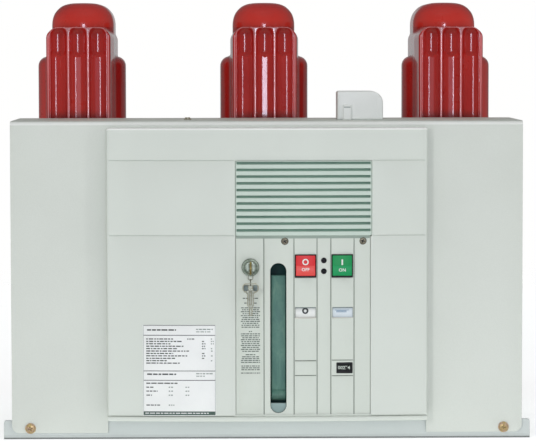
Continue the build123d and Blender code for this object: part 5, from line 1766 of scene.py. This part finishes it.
def earth():
    sh = Shell()
    c = (240.0, REAR_Y, 72.0)
    lathe(sh, [(0, 0), (10.9, 0), (11.0, 0.2), (11.0, 1.3), (10.8, 1.6), (0, 1.6)], (c[0], c[1] + 1.4, c[2]), (0, 1, 0), 44, 0)
    bolt(sh, (c[0], c[1] + 3.0, c[2]), (0, 1, 0), 8.6, 0, 9.2, 0.25, False)
    sh.make("earth_stud_nut", ["chromate"], replaces=["earth_stud"], smooth=35)


earth()


# ------------------------------------------------------------------ base frame
def base_rail(name, side):
    """Bent rail: foot with bolt holes, outer lip, web and shelf, all with rounded sheet edges."""
    sh = Shell()
    X = lambda x: side * x
    foot = lambda u, v, d: (X(u), v, 3.0 - d)
    prism(sh, rect(236.2, BASE_W / 2 - 0.02, 6.0, REAR_Y, 0.6, 3, 60.0), [ring(BOLT_X, y, 6.5, 40) for y in (BOLT_Y0, BOLT_Y1)], foot, 0.0, 2.98, 0.35, 3, 0, hole_r=0.4)
    prism(sh, rect(6.0, REAR_Y, 1.0, 4.6, 0.9, 4, 60.0), [], lambda u, v, d: (X(BASE_W / 2 - d), u, v), 0.0, 3.0, 0.7, 3, 0)
    prism(sh, rect(6.0, REAR_Y, 1.0, 45.0, 0.8, 3, 60.0), [], lambda u, v, d: (X(239.0 - d), u, v), 0.0, 3.0, 0.5, 3, 0)
    prism(sh, rect(237.0, 252.0, 6.0, REAR_Y, 1.4, 4, 60.0), [], lambda u, v, d: (X(u), v, 45.0 - d), 0.0, 3.0, 0.5, 3, 0)
    sh.make("rail_" + name, ["base_paint"], replaces=["base_rail_" + name], smooth=35)


base_rail("left", -1)
base_rail("right", 1)


def crossbars():
    sh = Shell()
    h = BASE_W / 2
    pts = [(-h, 0.0), (h, 0.0), (h, 20.5), (260.0, 20.5), (236.0, 20.5), (236.0, 40.0), (-236.0, 40.0), (-236.0, 20.5), (-260.0, 20.5), (-h, 20.5)]
    prism(sh, lambda off: contour(pts, [0.6, 0.6, 2.6, 0.4, 1.5, 1.0, 1.0, 1.5, 0.4, 2.6], off, 4, 40.0), [], at_y(0), 3.0, 6.0, 0.6, 4, 0)
    prism(sh, rect(-236.0, 236.0, 5.2, 40.0, 0.8, 3, 60.0), [], lambda u, v, d: (u, v, 3.0 - d), 0.0, 2.98, 0.4, 3, 0)
    sh.make("front_bar", ["base_paint"], replaces=["front_crossbar"], smooth=35)
    sh = Shell()
    prism(sh, rect(-236.0, 236.0, 0.0, 45.0, 1.0, 3, 60.0), [], at_y(0), REAR_Y - 3.0, REAR_Y, 0.5, 3, 0)
    prism(sh, rect(-236.0, 236.0, REAR_Y - 40.0, REAR_Y - 2.2, 0.8, 3, 60.0), [], lambda u, v, d: (u, v, 3.0 - d), 0.0, 2.98, 0.4, 3, 0)
    sh.make("rear_bar", ["zinc"], replaces=["rear_crossbar"], smooth=35)


crossbars()


def pole_deck():
    """Top plate of the low base, with a rounded rim and the shaft slots under the poles closed."""
    sh = Shell()
    h = HOUSING_W / 2 - SHEET
    prism(sh, rect(-h, h, HOUSING_D - 3.0, REAR_Y, 0.8, 3, 50.0), [], lambda u, v, d: (u, v, REAR_H - d), 0.0, 4.0, 0.7, 4, 0)
    for i, (x, y) in enumerate([(x, y) for x in (-268.0, -105.0, 105.0, 268.0) for y in (152.0, 318.0)]):
        cross_screw(sh, (x, y, REAR_H), (0, 0, 1), 3.9, 1.9, 1, 2, 0.5 + 0.7 * i, 0.5)
    sh.make("pole_deck", ["zinc", "screw", "dark"], replaces=["pole_plate"], smooth=35)


pole_deck()


# ------------------------------------------------------------------ finishes of the plain nodes that stay
FINISH = {
    "base_rail_left": "zinc", "base_rail_right": "zinc", "front_crossbar": "base_paint", "rear_crossbar": "zinc",
    "front_panel": "steel_paint", "top_panel": "steel_paint", "side_panel_left": "steel_paint", "side_panel_right": "steel_paint",
    "mechanism_block": "dark", "rear_panel": "zinc", "rear_base": "zinc", "pole_plate": "zinc",
    "plastic_cover": "cover", "louvre_grille": "louvre", "control_panel": "insert", "panel_screws": "screw",
    "charging_lever": "lever", "lever_bracket": "dark", "slot_stop": "stop", "off_button": "red", "on_button": "green",
    "position_indicator": "white", "spring_indicator": "blue_white", "operation_counter": "black", "blank_plate": "insert",
    "rating_plate": "plate", "instruction_strip": "strip", "lock_body": "nickel", "lock_plug": "nickel", "lock_key": "key_steel",
    "key_ring": "key_steel", "spare_key": "brass", "front_screws": "chromate", "top_plug": "screw", "connector_box": "connector",
    "earth_stud": "chromate",
}
for side, _ in POLE_X:
    FINISH["upper_terminal_" + side] = "silver"
    FINISH["lower_terminal_" + side] = "silver"
for node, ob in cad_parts.items():
    if node in FINISH and not ob.hide_render:
        for slot_ in ob.material_slots:
            slot_.material = MAT[FINISH[node]]

# ------------------------------------------------------------------ floor
def make_floor():
    bm = bmesh.new()
    rings, n = [0.0, 0.25, 0.5, 0.9, 1.4, 2.0, 2.35], 64
    last = [bm.verts.new((0, 0, 0))]
    for r in rings[1:]:
        now = [bm.verts.new((r * math.cos(2 * math.pi * i / n), r * math.sin(2 * math.pi * i / n), 0)) for i in range(n)]
        for i in range(n):
            j = (i + 1) % n
            if len(last) == 1:
                bm.faces.new((last[0], now[i], now[j]))
            else:
                bm.faces.new((last[i], now[i], now[j], last[j]))
        last = now
    me = bpy.data.meshes.new("studio_floor")
    bm.to_mesh(me)
    bm.free()
    me.materials.append(stage_floor())
    ob = bpy.data.objects.new("studio_floor", me)
    bpy.context.scene.collection.objects.link(ob)
    ob.location = (0, 0.1, -0.0004)
    ob.visible_glossy = False


make_floor()
